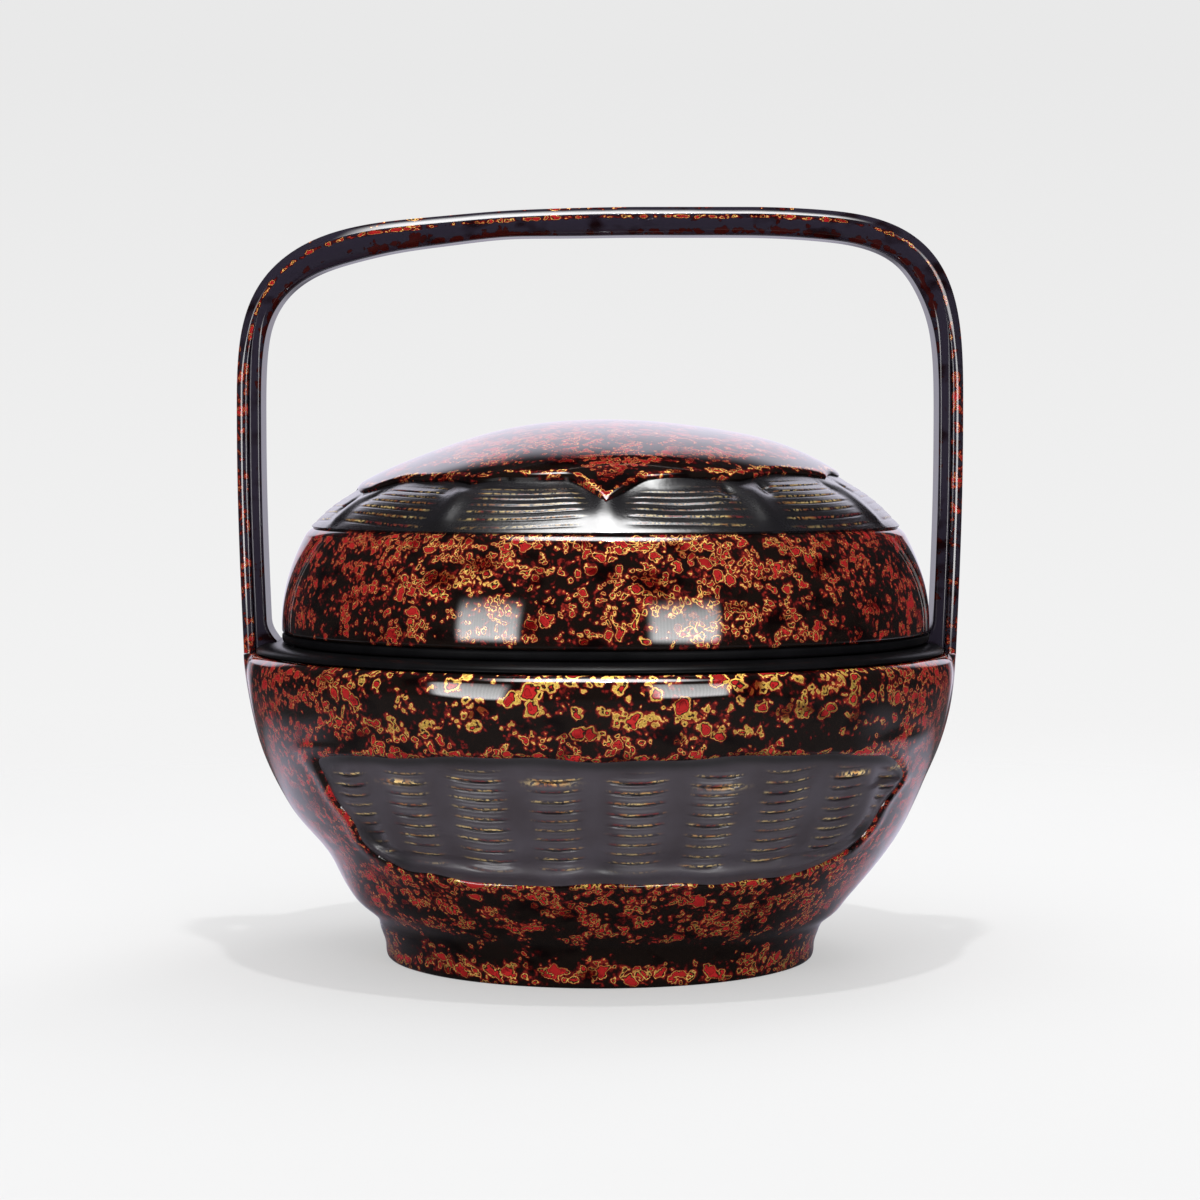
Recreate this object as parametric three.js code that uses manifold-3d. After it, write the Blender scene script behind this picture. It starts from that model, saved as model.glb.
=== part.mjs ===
// A lidded hand basket of woven bamboo under lacquer: a round bowl on a foot ring, a domed lid that lifts off,
// and a fixed bent handle of two strips whose tails are let into the bowl's lacquer coat and pegged.
// Millimetres, +Z up, origin at the middle of the foot ring's underside. The front faces -Y.
import * as THREE from "three";
import { mergeVertices } from "three/addons/utils/BufferGeometryUtils.js";
import Module from "manifold-3d";

// Facets and steps
const FACETS = 36; // round every turned piece
const WALL_STEPS = 5; // up the bowl's wall
const CROWN_STEPS = 4; // from the lid's top to the edge of its crown coat
const BAND_STEPS = 2; // down the lid's woven band
const SIDE_STEPS = 3; // down the lid's side
const LEG_STEPS = 4; // up a handle leg
const CORNER_STEPS = 9; // round a handle corner
const TAIL_STEPS = 3; // down a handle tail
const PEG_FACETS = 10;

// Clearances
const SEAT_GAP = 0.3; // between two pieces that touch
const COLLAR_PLAY = 2.2; // between the lid's collar and the mouth
const LID_SHIFT = 1.9; // how far the lid lies off the middle, within that play

// Layers of the wall, the same in the bowl and in the lid
const COAT = 2; // lacquer coat outside
const WEAVE = 2.2; // woven bamboo
const LINING = 1; // lacquered lining inside

// Foot
const FOOT_RADIUS = 73.3; // at the table
const FOOT_FLARE = 3; // how much wider its top is
const FOOT_FLARE_POWER = 4; // how late the flare starts
const FOOT_HEIGHT = 11;
const FOOT_WALL = 7;
const BOARD_THICKNESS = 5;

// Bowl
const RIM_RADIUS = 120.8; // outside of the wall at the mouth
const WALL_TOP = 104.2; // height of the wall's upper edge
const BELLY_FULLNESS = 1.92; // 1 is a cone, 2 a round belly
const RIM_RING_THICKNESS = 3.3;
const RIM_RING_LIP = 0.6; // upright edge outside the rim ring's sloping top
const INNER_HOOP_WALL = 4;
const INNER_HOOP_HEIGHT = 13;

// Windows in the bowl's coat, front and back
const WINDOW_BOTTOM = 37;
const WINDOW_HEIGHT = 40;
const WINDOW_TOP_WIDTH = 170;
const WINDOW_BOTTOM_WIDTH = 136;
const WINDOW_CORNER = 9;

// Lid
const RIM_LEDGE = 10.2; // how far the lid's widest ring lies inside the rim
const LID_HOOP_HEIGHT = 3;
const LID_HOOP_ROUND = 1; // how far its lower edge is drawn in
const LID_WIDEST = 6.3; // height of the widest ring above the lid's lower edge
const RIDGE_HEIGHT = 38.6; // above the lid's lower edge
const RIDGE_SET_IN = 9.6; // how far the ridge lies inside the widest ring
const CROWN_RISE = 36.6; // from the ridge to the top
const DOME_SPREAD = 8.2; // how far the dome's full ellipse would reach past the ridge
const CROWN_EDGE_RADIUS = 78.5;
const COLLAR_WALL = 3;
const COLLAR_DROP = 12; // into the mouth
const COLLAR_RISE = 10; // up inside the lid

// Handle
const HANDLE_TOP = 254.8; // height above the table
const HANDLE_DEPTH = 20; // front to back
const STRIP_THICKNESS = 4.05; // each of its two strips
const STRIP_EDGE = 0.9; // rounding of their edges
const LEG_PROUD = 0.6; // how far a leg's outer face stands out from the wall
const LEG_LEAN = 2; // how far a leg leans outwards up to its corner
const CORNER_DROP = 76; // height of a corner
const LEFT_CORNER_REACH = 133.4; // the left corner is bent more gently
const RIGHT_CORNER_REACH = 78;
const CORNER_SQUARENESS = 3.8; // 2 is an ellipse
const TAIL_LENGTH = 42; // below the wall's upper edge
const PEG_RADIUS = 2;
const PEG_SUNK = 0.6; // outer end below the tail's face
const UPPER_PEG_DROP = 7.5; // below the wall's upper edge
const LOWER_PEG_RISE = 9; // above the tail's lower end

// Sizes that follow from these
const NECK_RADIUS = FOOT_RADIUS + FOOT_FLARE;
const WEAVE_DEPTH = COAT + SEAT_GAP; // of the weave's outside below the coat's face
const LINING_DEPTH = WEAVE_DEPTH + WEAVE + SEAT_GAP;
const WALL = LINING_DEPTH + LINING;
const WALL_BOTTOM = FOOT_HEIGHT + SEAT_GAP;
const LINING_BOTTOM = WALL_BOTTOM + WEAVE + SEAT_GAP;
const FLOOR_TOP = LINING_BOTTOM + LINING;
const FOOT_BORE = FOOT_RADIUS - FOOT_WALL;
const RIM_RING_BOTTOM = WALL_TOP + SEAT_GAP;
const RIM_RING_TOP = RIM_RING_BOTTOM + RIM_RING_THICKNESS;
const LID_RADIUS = RIM_RADIUS - RIM_LEDGE;
const LID_BOTTOM = RIM_RING_TOP + SEAT_GAP;
const LID_WALL_BOTTOM = LID_BOTTOM + LID_HOOP_HEIGHT + SEAT_GAP;
const RIDGE_RADIUS = LID_RADIUS - RIDGE_SET_IN;
const RIDGE_Z = LID_BOTTOM + RIDGE_HEIGHT;
const COLLAR_TOP = LID_BOTTOM + COLLAR_RISE;
const COLLAR_RADIUS = Math.min(lidBore(LID_WALL_BOTTOM), lidBore(COLLAR_TOP)) - SEAT_GAP;
const MOUTH_RADIUS = COLLAR_RADIUS + COLLAR_PLAY;
const LEG_FACE = RIM_RADIUS + LEG_PROUD;
const CORNER_FACE = LEG_FACE + LEG_LEAN;
const TAIL_END = WALL_TOP - TAIL_LENGTH;
const SLOT_WIDTH = HANDLE_DEPTH + 2 * SEAT_GAP;
const REACH = 2 * (RIM_RADIUS + HANDLE_TOP); // longer than the whole basket, for cutters

const wasm = await Module();
wasm.setup();

const materials = {
  marbledLacquer: new THREE.MeshStandardMaterial({ color: 0x5c2417, roughness: 0.15, metalness: 0.1 }),
  blackLacquer: new THREE.MeshStandardMaterial({ color: 0x14110f, roughness: 0.15, metalness: 0 }),
  wovenBamboo: new THREE.MeshStandardMaterial({ color: 0x25222a, roughness: 0.4, metalness: 0 }),
  liningLacquer: new THREE.MeshStandardMaterial({ color: 0x1c1512, roughness: 0.3, metalness: 0 }),
  bareBamboo: new THREE.MeshStandardMaterial({ color: 0x8a6a3c, roughness: 0.6, metalness: 0 }),
};

// Closed solid of a geometry, for cutting.
function toSolid(geometry) {
  const bare = geometry.clone();
  bare.deleteAttribute("normal");
  bare.deleteAttribute("uv");
  const merged = mergeVertices(bare);
  const corners = merged.index.array;
  const kept = [];
  for (let i = 0; i < corners.length; i += 3) {
    const [a, b, c] = corners.slice(i, i + 3);
    if (a !== b && b !== c && c !== a) kept.push(a, b, c);
  }
  const vertProperties = new Float32Array(merged.attributes.position.array);
  return new wasm.Manifold(new wasm.Mesh({ numProp: 3, vertProperties, triVerts: new Uint32Array(kept) }));
}

// Geometry of a solid that has been cut.
function toGeometry(solid) {
  const mesh = solid.getMesh();
  const geometry = new THREE.BufferGeometry();
  geometry.setAttribute("position", new THREE.BufferAttribute(new Float32Array(mesh.vertProperties), 3));
  geometry.setIndex(new THREE.BufferAttribute(new Uint32Array(mesh.triVerts), 1));
  geometry.computeVertexNormals();
  return geometry;
}

// Geometry with every cutter taken away.
function cut(geometry, cutters) {
  const solid = cutters.reduce((rest, cutter) => rest.subtract(toSolid(cutter)), toSolid(geometry));
  return toGeometry(solid);
}

// Box between two corners.
function box(low, high) {
  const size = high.map((value, axis) => value - low[axis]);
  const middle = high.map((value, axis) => (value + low[axis]) / 2);
  return new THREE.BoxGeometry(...size).translate(...middle);
}

// Piece turned round the upright axis from a profile of [radius, height] points, which runs up the outside
// first. A profile off the axis is closed on itself.
function turned(profile) {
  const closed = profile[0][0] > 0 ? [...profile, profile[0]] : profile;
  const points = closed.map(([radius, height]) => new THREE.Vector2(radius, height));
  return new THREE.LatheGeometry(points, FACETS).rotateX(Math.PI / 2);
}

// Flat outline of [x, z] points, extruded front to back over a depth and centred on the XZ plane.
function extruded(outline, depth, edge) {
  const shape = new THREE.Shape(outline.map(([x, z]) => new THREE.Vector2(x, z)));
  const bevel = { bevelThickness: edge, bevelSize: edge, bevelOffset: -edge, bevelSegments: 2 };
  const plain = { depth: depth - 2 * edge, bevelEnabled: edge > 0 };
  const geometry = new THREE.ExtrudeGeometry(shape, { ...plain, ...bevel });
  return geometry.translate(0, 0, edge - depth / 2).rotateX(Math.PI / 2);
}

// Round rod along X between two places.
function rod(radius, from, to, height) {
  const geometry = new THREE.CylinderGeometry(radius, radius, to - from, PEG_FACETS).rotateZ(Math.PI / 2);
  return geometry.translate((from + to) / 2, 0, height);
}

// Outside radius of the bowl at a height, and its slope: a full belly that stands upright at the rim.
function belly(z) {
  const left = Math.max(0, (WALL_TOP - z) / (WALL_TOP - FOOT_HEIGHT));
  const swell = RIM_RADIUS - NECK_RADIUS;
  const radius = NECK_RADIUS + swell * (1 - left ** BELLY_FULLNESS);
  const slope = (swell * BELLY_FULLNESS * left ** (BELLY_FULLNESS - 1)) / (WALL_TOP - FOOT_HEIGHT);
  return { radius, slope };
}

// Radius at a height of the surface that lies a depth below the bowl's outside, square to it.
function offsetBellyRadius(z, depth) {
  let foot = z;
  for (let round = 0; round < 12; round += 1) foot = z - depth * Math.sin(Math.atan(belly(foot).slope));
  return belly(foot).radius - depth * Math.cos(Math.atan(belly(foot).slope));
}

// Heights at which every layer of the wall has a ring of vertices.
function wallRings() {
  const step = (WALL_TOP - FLOOR_TOP) / WALL_STEPS;
  const upper = Array.from({ length: WALL_STEPS + 1 }, (_, k) => FLOOR_TOP + k * step);
  return [WALL_BOTTOM, ...upper];
}

// Radius of a layer at a height, straight between the rings, so that the layers nest.
function wallRadius(z, depth) {
  const rings = wallRings();
  const above = Math.max(1, rings.findIndex((ring) => ring >= z - 1e-9));
  const [low, high] = [rings[above - 1], rings[above]];
  const share = (z - low) / (high - low);
  return (1 - share) * offsetBellyRadius(low, depth) + share * offsetBellyRadius(high, depth);
}

// Points of a layer's face between two heights, from the bottom up.
function wallFace(depth, bottom, top) {
  const between = wallRings().filter((ring) => ring > bottom + SEAT_GAP && ring < top - SEAT_GAP);
  return [bottom, ...between, top].map((z) => [wallRadius(z, depth), z]);
}

// Bowl of one layer: a floor and a wall between two depths.
function bowlLayer(depth, thickness, floorBottom) {
  const outside = wallFace(depth, floorBottom, WALL_TOP);
  const inside = wallFace(depth + thickness, floorBottom + thickness, WALL_TOP).reverse();
  return turned([[0, floorBottom], ...outside, ...inside, [0, floorBottom + thickness]]);
}

function footRing() {
  const outside = [0, 0.45, 0.75, 1].map((share) => {
    return [FOOT_RADIUS + FOOT_FLARE * share ** FOOT_FLARE_POWER, FOOT_HEIGHT * share];
  });
  return turned([...outside, [FOOT_BORE, FOOT_HEIGHT], [FOOT_BORE, 0]]);
}

function baseBoard() {
  const radius = FOOT_BORE - SEAT_GAP;
  const bottom = FOOT_HEIGHT - BOARD_THICKNESS;
  return turned([[0, bottom], [radius, bottom], [radius, FOOT_HEIGHT], [0, FOOT_HEIGHT]]);
}

// Holes for the handle's pegs through whatever the pegs pass.
function pegHoles() {
  const holes = [];
  for (const height of [pegHeight("upper"), pegHeight("lower")]) {
    holes.push(rod(PEG_RADIUS + SEAT_GAP, 0, REACH, height));
    holes.push(rod(PEG_RADIUS + SEAT_GAP, -REACH, 0, height));
  }
  return holes;
}

function pegHeight(level) {
  return level === "upper" ? WALL_TOP - UPPER_PEG_DROP : TAIL_END + LOWER_PEG_RISE;
}

function wovenBowl() {
  return cut(bowlLayer(WEAVE_DEPTH, WEAVE, WALL_BOTTOM), pegHoles());
}

function bowlLining() {
  return cut(bowlLayer(LINING_DEPTH, LINING, LINING_BOTTOM), pegHoles());
}

// Window outline as seen from the front: wider at its top, with round corners.
function windowCutter() {
  const bottom = WINDOW_BOTTOM;
  const top = WINDOW_BOTTOM + WINDOW_HEIGHT;
  const [low, high] = [WINDOW_BOTTOM_WIDTH / 2, WINDOW_TOP_WIDTH / 2];
  const corners = [[-low, bottom], [low, bottom], [high, top], [-high, top]];
  const shape = new THREE.Shape();
  corners.forEach((corner, k) => {
    const here = new THREE.Vector2(...corner);
    const before = new THREE.Vector2(...corners[(k + 3) % 4]).sub(here).setLength(WINDOW_CORNER).add(here);
    const after = new THREE.Vector2(...corners[(k + 1) % 4]).sub(here).setLength(WINDOW_CORNER).add(here);
    if (k === 0) shape.moveTo(before.x, before.y);
    else shape.lineTo(before.x, before.y);
    shape.quadraticCurveTo(here.x, here.y, after.x, after.y);
  });
  const outline = shape.extractPoints(3).shape.map((point) => [point.x, point.y]);
  return extruded(outline, REACH, 0);
}

// Coat of the bowl, with its windows and with a slot for each handle tail.
function bowlLacquer() {
  const outside = wallFace(0, WALL_BOTTOM, WALL_TOP);
  const inside = wallFace(COAT, WALL_BOTTOM, WALL_TOP).reverse();
  const slot = box([-REACH, -SLOT_WIDTH / 2, TAIL_END - SEAT_GAP], [REACH, SLOT_WIDTH / 2, REACH]);
  return cut(turned([...outside, ...inside]), [windowCutter(), slot]);
}

// Ring round the mouth: flat where the lid rests, sloping round to its outer edge, notched for the legs.
function rimRing() {
  const lip = RIM_RING_BOTTOM + RIM_RING_LIP;
  const slope = [0, 0.25, 0.5, 0.75, 1].map((share) => {
    const turn = (share * Math.PI) / 2;
    const radius = LID_RADIUS + RIM_LEDGE * Math.cos(turn);
    return [radius, lip + (RIM_RING_TOP - lip) * Math.sin(turn)];
  });
  const profile = [[MOUTH_RADIUS, RIM_RING_BOTTOM], [RIM_RADIUS, RIM_RING_BOTTOM], ...slope];
  const ring = turned([...profile, [MOUTH_RADIUS, RIM_RING_TOP]]);
  const notchFace = LEG_FACE - STRIP_THICKNESS - SEAT_GAP;
  const right = box([notchFace, -SLOT_WIDTH / 2, 0], [REACH, SLOT_WIDTH / 2, REACH]);
  const left = box([-REACH, -SLOT_WIDTH / 2, 0], [-notchFace, SLOT_WIDTH / 2, REACH]);
  return cut(ring, [right, left]);
}

function innerHoop() {
  const bottom = WALL_TOP - INNER_HOOP_HEIGHT;
  const outside = wallFace(WALL + SEAT_GAP, bottom, WALL_TOP);
  const inside = wallFace(WALL + SEAT_GAP + INNER_HOOP_WALL, bottom, WALL_TOP).reverse();
  return cut(turned([...outside, ...inside]), pegHoles());
}

// Outer face of a leg at a height: it leans out a little from the wall's top to the corner.
function legFace(z) {
  const share = (z - WALL_TOP) / (HANDLE_TOP - CORNER_DROP - WALL_TOP);
  return LEG_FACE + LEG_LEAN * Math.sin((Math.PI / 2) * share);
}

// Outer face of one half of the handle, from the foot of its leg up to the middle of the top.
// The corner is a quarter of a superellipse.
function handleHalf(footHeight, cornerReach) {
  const cornerStart = HANDLE_TOP - CORNER_DROP;
  const points = [];
  for (let k = 0; k < LEG_STEPS; k += 1) {
    const z = footHeight + ((cornerStart - footHeight) * k) / LEG_STEPS;
    points.push([legFace(z), z]);
  }
  for (let k = 0; k <= CORNER_STEPS; k += 1) {
    const turn = (Math.PI / 2) * (k / CORNER_STEPS);
    const across = Math.cos(turn) ** (2 / CORNER_SQUARENESS);
    const up = Math.sin(turn) ** (2 / CORNER_SQUARENESS);
    points.push([CORNER_FACE - cornerReach * (1 - across), cornerStart + CORNER_DROP * up]);
  }
  return points;
}

// Outer face of the whole handle, from the left leg's foot to the right leg's foot.
function handleFace(footHeight) {
  const left = handleHalf(footHeight, LEFT_CORNER_REACH).map(([x, z]) => [-x, z]);
  const right = handleHalf(footHeight, RIGHT_CORNER_REACH).reverse();
  return [...left, ...right];
}

// Line of points moved inwards by a distance, square to the line, and level at its two ends.
function inset(points, distance) {
  return points.map(([x, z], k) => {
    if (k === 0) return [x + distance, z];
    if (k === points.length - 1) return [x - distance, z];
    const along = new THREE.Vector2(points[k + 1][0] - points[k - 1][0], points[k + 1][1] - points[k - 1][1]);
    along.setLength(distance);
    return [x + along.y, z - along.x];
  });
}

// Tail of a handle leg, from its lower end up: outer face on the coat's level, inner face on the weave.
function tailFaces() {
  const heights = Array.from({ length: TAIL_STEPS }, (_, k) => TAIL_END + (TAIL_LENGTH * k) / TAIL_STEPS);
  const outer = heights.map((z) => [belly(z).radius + LEG_PROUD, z]);
  const inner = [...heights, RIM_RING_BOTTOM].map((z) => [offsetBellyRadius(Math.min(z, WALL_TOP), COAT), z]);
  return { outer, inner };
}

// Outer strip: an arch with shouldered legs that stand on the wall, and tails that run on down in the coat.
function handleOuterStrip() {
  const face = handleFace(RIM_RING_BOTTOM);
  const back = inset(face, STRIP_THICKNESS).reverse();
  const { outer, inner } = tailFaces();
  const mirrored = (points) => points.map(([x, z]) => [-x, z]);
  const rightTail = [...[...outer].reverse(), ...inner];
  const leftTail = [...mirrored([...inner].reverse()), ...mirrored(outer)];
  const strip = extruded([...face, ...rightTail, ...back, ...leftTail], HANDLE_DEPTH, STRIP_EDGE);
  return cut(strip, pegHoles());
}

// Inner strip: an arch inside the outer one, whose feet stand on the rim ring.
function handleInnerStrip() {
  const face = handleFace(RIM_RING_TOP + SEAT_GAP);
  const outer = inset(face, STRIP_THICKNESS + SEAT_GAP);
  const inner = inset(face, 2 * STRIP_THICKNESS + SEAT_GAP).reverse();
  return extruded([...outer, ...inner], HANDLE_DEPTH, STRIP_EDGE);
}

// Peg through a tail and the wall; the upper pair also passes the inner hoop.
function handlePeg(side, level) {
  const z = pegHeight(level);
  const inward = level === "upper" ? WALL + SEAT_GAP + INNER_HOOP_WALL : WALL;
  const [inner, outer] = [wallRadius(z, inward), belly(z).radius + LEG_PROUD - PEG_SUNK];
  return side === "right" ? rod(PEG_RADIUS, inner, outer, z) : rod(PEG_RADIUS, -outer, -inner, z);
}

// Outside radius of the lid's side at a height: a parabola through the widest ring and the ridge.
function lidSideRadius(z) {
  const share = (z - LID_BOTTOM - LID_WIDEST) / (RIDGE_HEIGHT - LID_WIDEST);
  return LID_RADIUS - RIDGE_SET_IN * share ** 2;
}

// Rings of the lid's outside from the top down, each with its outward direction: an ellipse for the dome,
// the parabola for the side. The lowest ring looks straight out, so that every layer ends level.
function lidRings() {
  const spread = RIDGE_RADIUS + DOME_SPREAD;
  const height = CROWN_RISE / (1 - Math.sqrt(1 - (RIDGE_RADIUS / spread) ** 2));
  const domeRing = (radius) => {
    const drop = Math.sqrt(1 - (radius / spread) ** 2);
    const out = new THREE.Vector2(radius / spread ** 2, drop / height).normalize();
    return { radius, z: RIDGE_Z + CROWN_RISE - height * (1 - drop), out };
  };
  const rings = [];
  for (let k = 0; k <= CROWN_STEPS; k += 1) rings.push(domeRing((CROWN_EDGE_RADIUS * k) / CROWN_STEPS));
  const band = RIDGE_RADIUS - CROWN_EDGE_RADIUS;
  for (let k = 1; k <= BAND_STEPS; k += 1) rings.push(domeRing(CROWN_EDGE_RADIUS + (band * k) / BAND_STEPS));
  for (let k = 1; k <= SIDE_STEPS; k += 1) {
    const z = RIDGE_Z - ((RIDGE_Z - LID_WALL_BOTTOM) * k) / SIDE_STEPS;
    const fall = (2 * RIDGE_SET_IN * (z - LID_BOTTOM - LID_WIDEST)) / (RIDGE_HEIGHT - LID_WIDEST) ** 2;
    const out = k < SIDE_STEPS ? new THREE.Vector2(1, fall).normalize() : new THREE.Vector2(1, 0);
    rings.push({ radius: lidSideRadius(z), z, out });
  }
  return rings;
}

// Inside radius of the lid's side at a height, straight between its rings.
function lidBore(z) {
  const inside = lidRings().map(({ radius, z: height, out }) => [radius - WALL * out.x, height - WALL * out.y]);
  const below = inside.findIndex(([, height]) => height <= z);
  const [[highRadius, high], [lowRadius, low]] = inside.slice(below - 1, below + 1);
  return lowRadius + ((highRadius - lowRadius) * (z - low)) / (high - low);
}

// Piece of the lid between two depths, over a run of its rings.
function lidLayer(depth, thickness, first, last) {
  const run = lidRings().slice(first, last + 1);
  const face = (below) => run.map(({ radius, z, out }) => [radius - below * out.x, z - below * out.y]);
  const outside = face(depth).reverse();
  const inside = face(depth + thickness);
  return turned(first > 0 ? [...outside, ...inside] : [...inside, ...outside]);
}

const CROWN_EDGE_RING = CROWN_STEPS;
const RIDGE_RING = CROWN_STEPS + BAND_STEPS;
const LAST_RING = RIDGE_RING + SIDE_STEPS;

// Hoop along the lid's lower edge, drawn in a little underneath.
function lidRimHoop() {
  const top = LID_BOTTOM + LID_HOOP_HEIGHT;
  const outer = lidSideRadius(LID_WALL_BOTTOM);
  const bore = COLLAR_RADIUS + SEAT_GAP;
  const middle = [outer, LID_BOTTOM + LID_HOOP_ROUND];
  return turned([[bore, LID_BOTTOM], [outer - LID_HOOP_ROUND, LID_BOTTOM], middle, [outer, top], [bore, top]]);
}

function lidCollar() {
  const low = LID_BOTTOM - COLLAR_DROP;
  const bore = COLLAR_RADIUS - COLLAR_WALL;
  return turned([[bore, low], [COLLAR_RADIUS, low], [COLLAR_RADIUS, COLLAR_TOP], [bore, COLLAR_TOP]]);
}

const basket = new THREE.Group();
const lid = new THREE.Group();
lid.position.set(LID_SHIFT, 0, 0);
basket.add(lid);

function place(group, name, geometry, material) {
  const mesh = new THREE.Mesh(geometry, material.clone());
  mesh.name = name;
  group.add(mesh);
}

place(basket, "foot_ring", footRing(), materials.marbledLacquer);
place(basket, "base_board", baseBoard(), materials.blackLacquer);
place(basket, "woven_bowl", wovenBowl(), materials.wovenBamboo);
place(basket, "bowl_lining", bowlLining(), materials.liningLacquer);
place(basket, "bowl_lacquer", bowlLacquer(), materials.marbledLacquer);
place(basket, "rim_ring", rimRing(), materials.blackLacquer);
place(basket, "inner_hoop", innerHoop(), materials.blackLacquer);
place(basket, "handle_outer_strip", handleOuterStrip(), materials.marbledLacquer);
place(basket, "handle_inner_strip", handleInnerStrip(), materials.blackLacquer);
for (const side of ["left", "right"]) {
  for (const level of ["upper", "lower"]) {
    place(basket, `peg_${side}_${level}`, handlePeg(side, level), materials.bareBamboo);
  }
}
place(lid, "lid_weave", lidLayer(WEAVE_DEPTH, WEAVE, 0, LAST_RING), materials.wovenBamboo);
place(lid, "lid_lining", lidLayer(LINING_DEPTH, LINING, 0, LAST_RING), materials.liningLacquer);
place(lid, "lid_side_lacquer", lidLayer(0, COAT, RIDGE_RING, LAST_RING), materials.marbledLacquer);
place(lid, "lid_crown_lacquer", lidLayer(0, COAT, 0, CROWN_EDGE_RING), materials.marbledLacquer);
place(lid, "lid_rim_hoop", lidRimHoop(), materials.blackLacquer);
place(lid, "lid_collar", lidCollar(), materials.blackLacquer);

export default basket;
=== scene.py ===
import math

import bmesh
import bpy
import numpy as np
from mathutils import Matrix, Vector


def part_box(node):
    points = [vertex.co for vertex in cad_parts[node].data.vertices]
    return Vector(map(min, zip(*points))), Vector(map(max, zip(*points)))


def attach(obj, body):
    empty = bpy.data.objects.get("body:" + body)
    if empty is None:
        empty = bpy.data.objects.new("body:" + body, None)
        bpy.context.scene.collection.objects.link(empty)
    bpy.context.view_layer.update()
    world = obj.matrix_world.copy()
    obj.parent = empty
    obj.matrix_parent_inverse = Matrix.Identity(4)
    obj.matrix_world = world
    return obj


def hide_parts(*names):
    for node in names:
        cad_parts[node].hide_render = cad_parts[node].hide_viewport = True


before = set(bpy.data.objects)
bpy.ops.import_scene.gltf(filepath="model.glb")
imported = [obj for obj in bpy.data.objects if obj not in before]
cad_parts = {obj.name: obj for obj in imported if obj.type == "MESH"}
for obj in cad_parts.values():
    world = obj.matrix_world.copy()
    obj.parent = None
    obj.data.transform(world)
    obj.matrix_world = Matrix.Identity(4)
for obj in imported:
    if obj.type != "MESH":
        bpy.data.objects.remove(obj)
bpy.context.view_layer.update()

MM = 0.001

# Sizes read from the frame, in metres
NECK_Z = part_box("foot_ring")[1][2]
NECK_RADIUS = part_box("foot_ring")[1][1]
WALL_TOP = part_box("bowl_lacquer")[1][2]
RIM_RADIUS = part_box("bowl_lacquer")[1][1]
RIM_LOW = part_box("rim_ring")[0][2]
RIM_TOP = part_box("rim_ring")[1][2]
FLOOR_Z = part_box("bowl_lining")[0][2]
BOARD_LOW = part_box("base_board")[0][2]
BOARD_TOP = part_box("base_board")[1][2]
BOARD_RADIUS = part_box("base_board")[1][1]
HOOP_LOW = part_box("inner_hoop")[0][2]
HOOP_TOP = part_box("inner_hoop")[1][2]
HANDLE_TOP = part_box("handle_outer_strip")[1][2]
HANDLE_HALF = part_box("handle_outer_strip")[1][0]
HANDLE_DEPTH = 2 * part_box("handle_outer_strip")[1][1]
LID_X = (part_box("lid_side_lacquer")[0][0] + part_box("lid_side_lacquer")[1][0]) / 2
LID_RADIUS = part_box("lid_side_lacquer")[1][1]
LID_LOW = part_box("lid_rim_hoop")[0][2]
LID_HOOP_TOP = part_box("lid_rim_hoop")[1][2]
LID_HOOP_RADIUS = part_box("lid_rim_hoop")[1][1]
RIDGE_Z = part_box("lid_side_lacquer")[1][2]
CROWN_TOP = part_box("lid_crown_lacquer")[1][2]
COLLAR_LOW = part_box("lid_collar")[0][2]
COLLAR_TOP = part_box("lid_collar")[1][2]
COLLAR_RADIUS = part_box("lid_collar")[1][1]

# Bowl
BELLY_FULLNESS = 1.92
BELLY_MEAN_RADIUS = 108 * MM
FOOT_DRAFT = 0.7 * MM
FOOT_SET_IN = 2.3 * MM
FOOT_BLEND = 4 * MM
FOOT_WALL = 7 * MM
NECK_TUCK = 1.6 * MM
NECK_TUCK_Z = 13 * MM
NECK_TUCK_SPAN = 3.4 * MM
SHOULDER_ROUND = 1.5 * MM
SHOULDER_SPAN = 9 * MM
COAT = 4.2 * MM
COAT_LOW = 9.6 * MM
COAT_EDGE_POWER = 1.65
LINING_SET_IN = 4.8 * MM

# Belly windows
WINDOW_TURN = math.radians(3.5)
WINDOW_HALF_ANGLE = math.radians(53)
WINDOW_MIDDLE = 57.5 * MM
WINDOW_HALF_HEIGHT = 20 * MM
WINDOW_SQUARENESS = 5
WINDOW_TAPER = 0.05
WINDOW_DEPTH = 2.8 * MM
WEAVE_DEPTH = 2.55 * MM
BELLY_COLUMNS = 28
BELLY_ROW = 3.3 * MM

# Lid
LID_WIDEST = 6.3 * MM
RIDGE_SET_IN = 9.6 * MM
LIP_WIDTH = 2.8 * MM
LIP_HEIGHT = 2.7 * MM
LIP_POWER = 1.6
DOME_SPREAD = 8.2 * MM
CROWN_EDGE = 78.5 * MM
CUSPS = 11
CUSP_PITCH = 2 * np.pi / CUSPS
CUSP_WIDTH = math.radians(9)
CUSP_POWER = 1.6
LID_ROW = 2.6 * MM

# Handle
LEG_LEAN = 2 * MM
LEG_PROUD = 0.6 * MM
LEG_HALF = 10.5 * MM
CORNER_DROP = 76 * MM
LEFT_REACH = 133.4 * MM
RIGHT_REACH = 78 * MM
CORNER_SQUARENESS = 3.8
STRIP = 4.05 * MM
STRIP_GAP = 0.3 * MM

# Marbling
SPOT_LIMIT = 0.46
HAZE = 1.35
SPOT_SPAN = 3.4
GOLD_LINE = 0.15
MARBLE_GROUND = (0.0052, 0.0030, 0.0022)
HANDLE_GROUND = (0.016, 0.013, 0.021)

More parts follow.
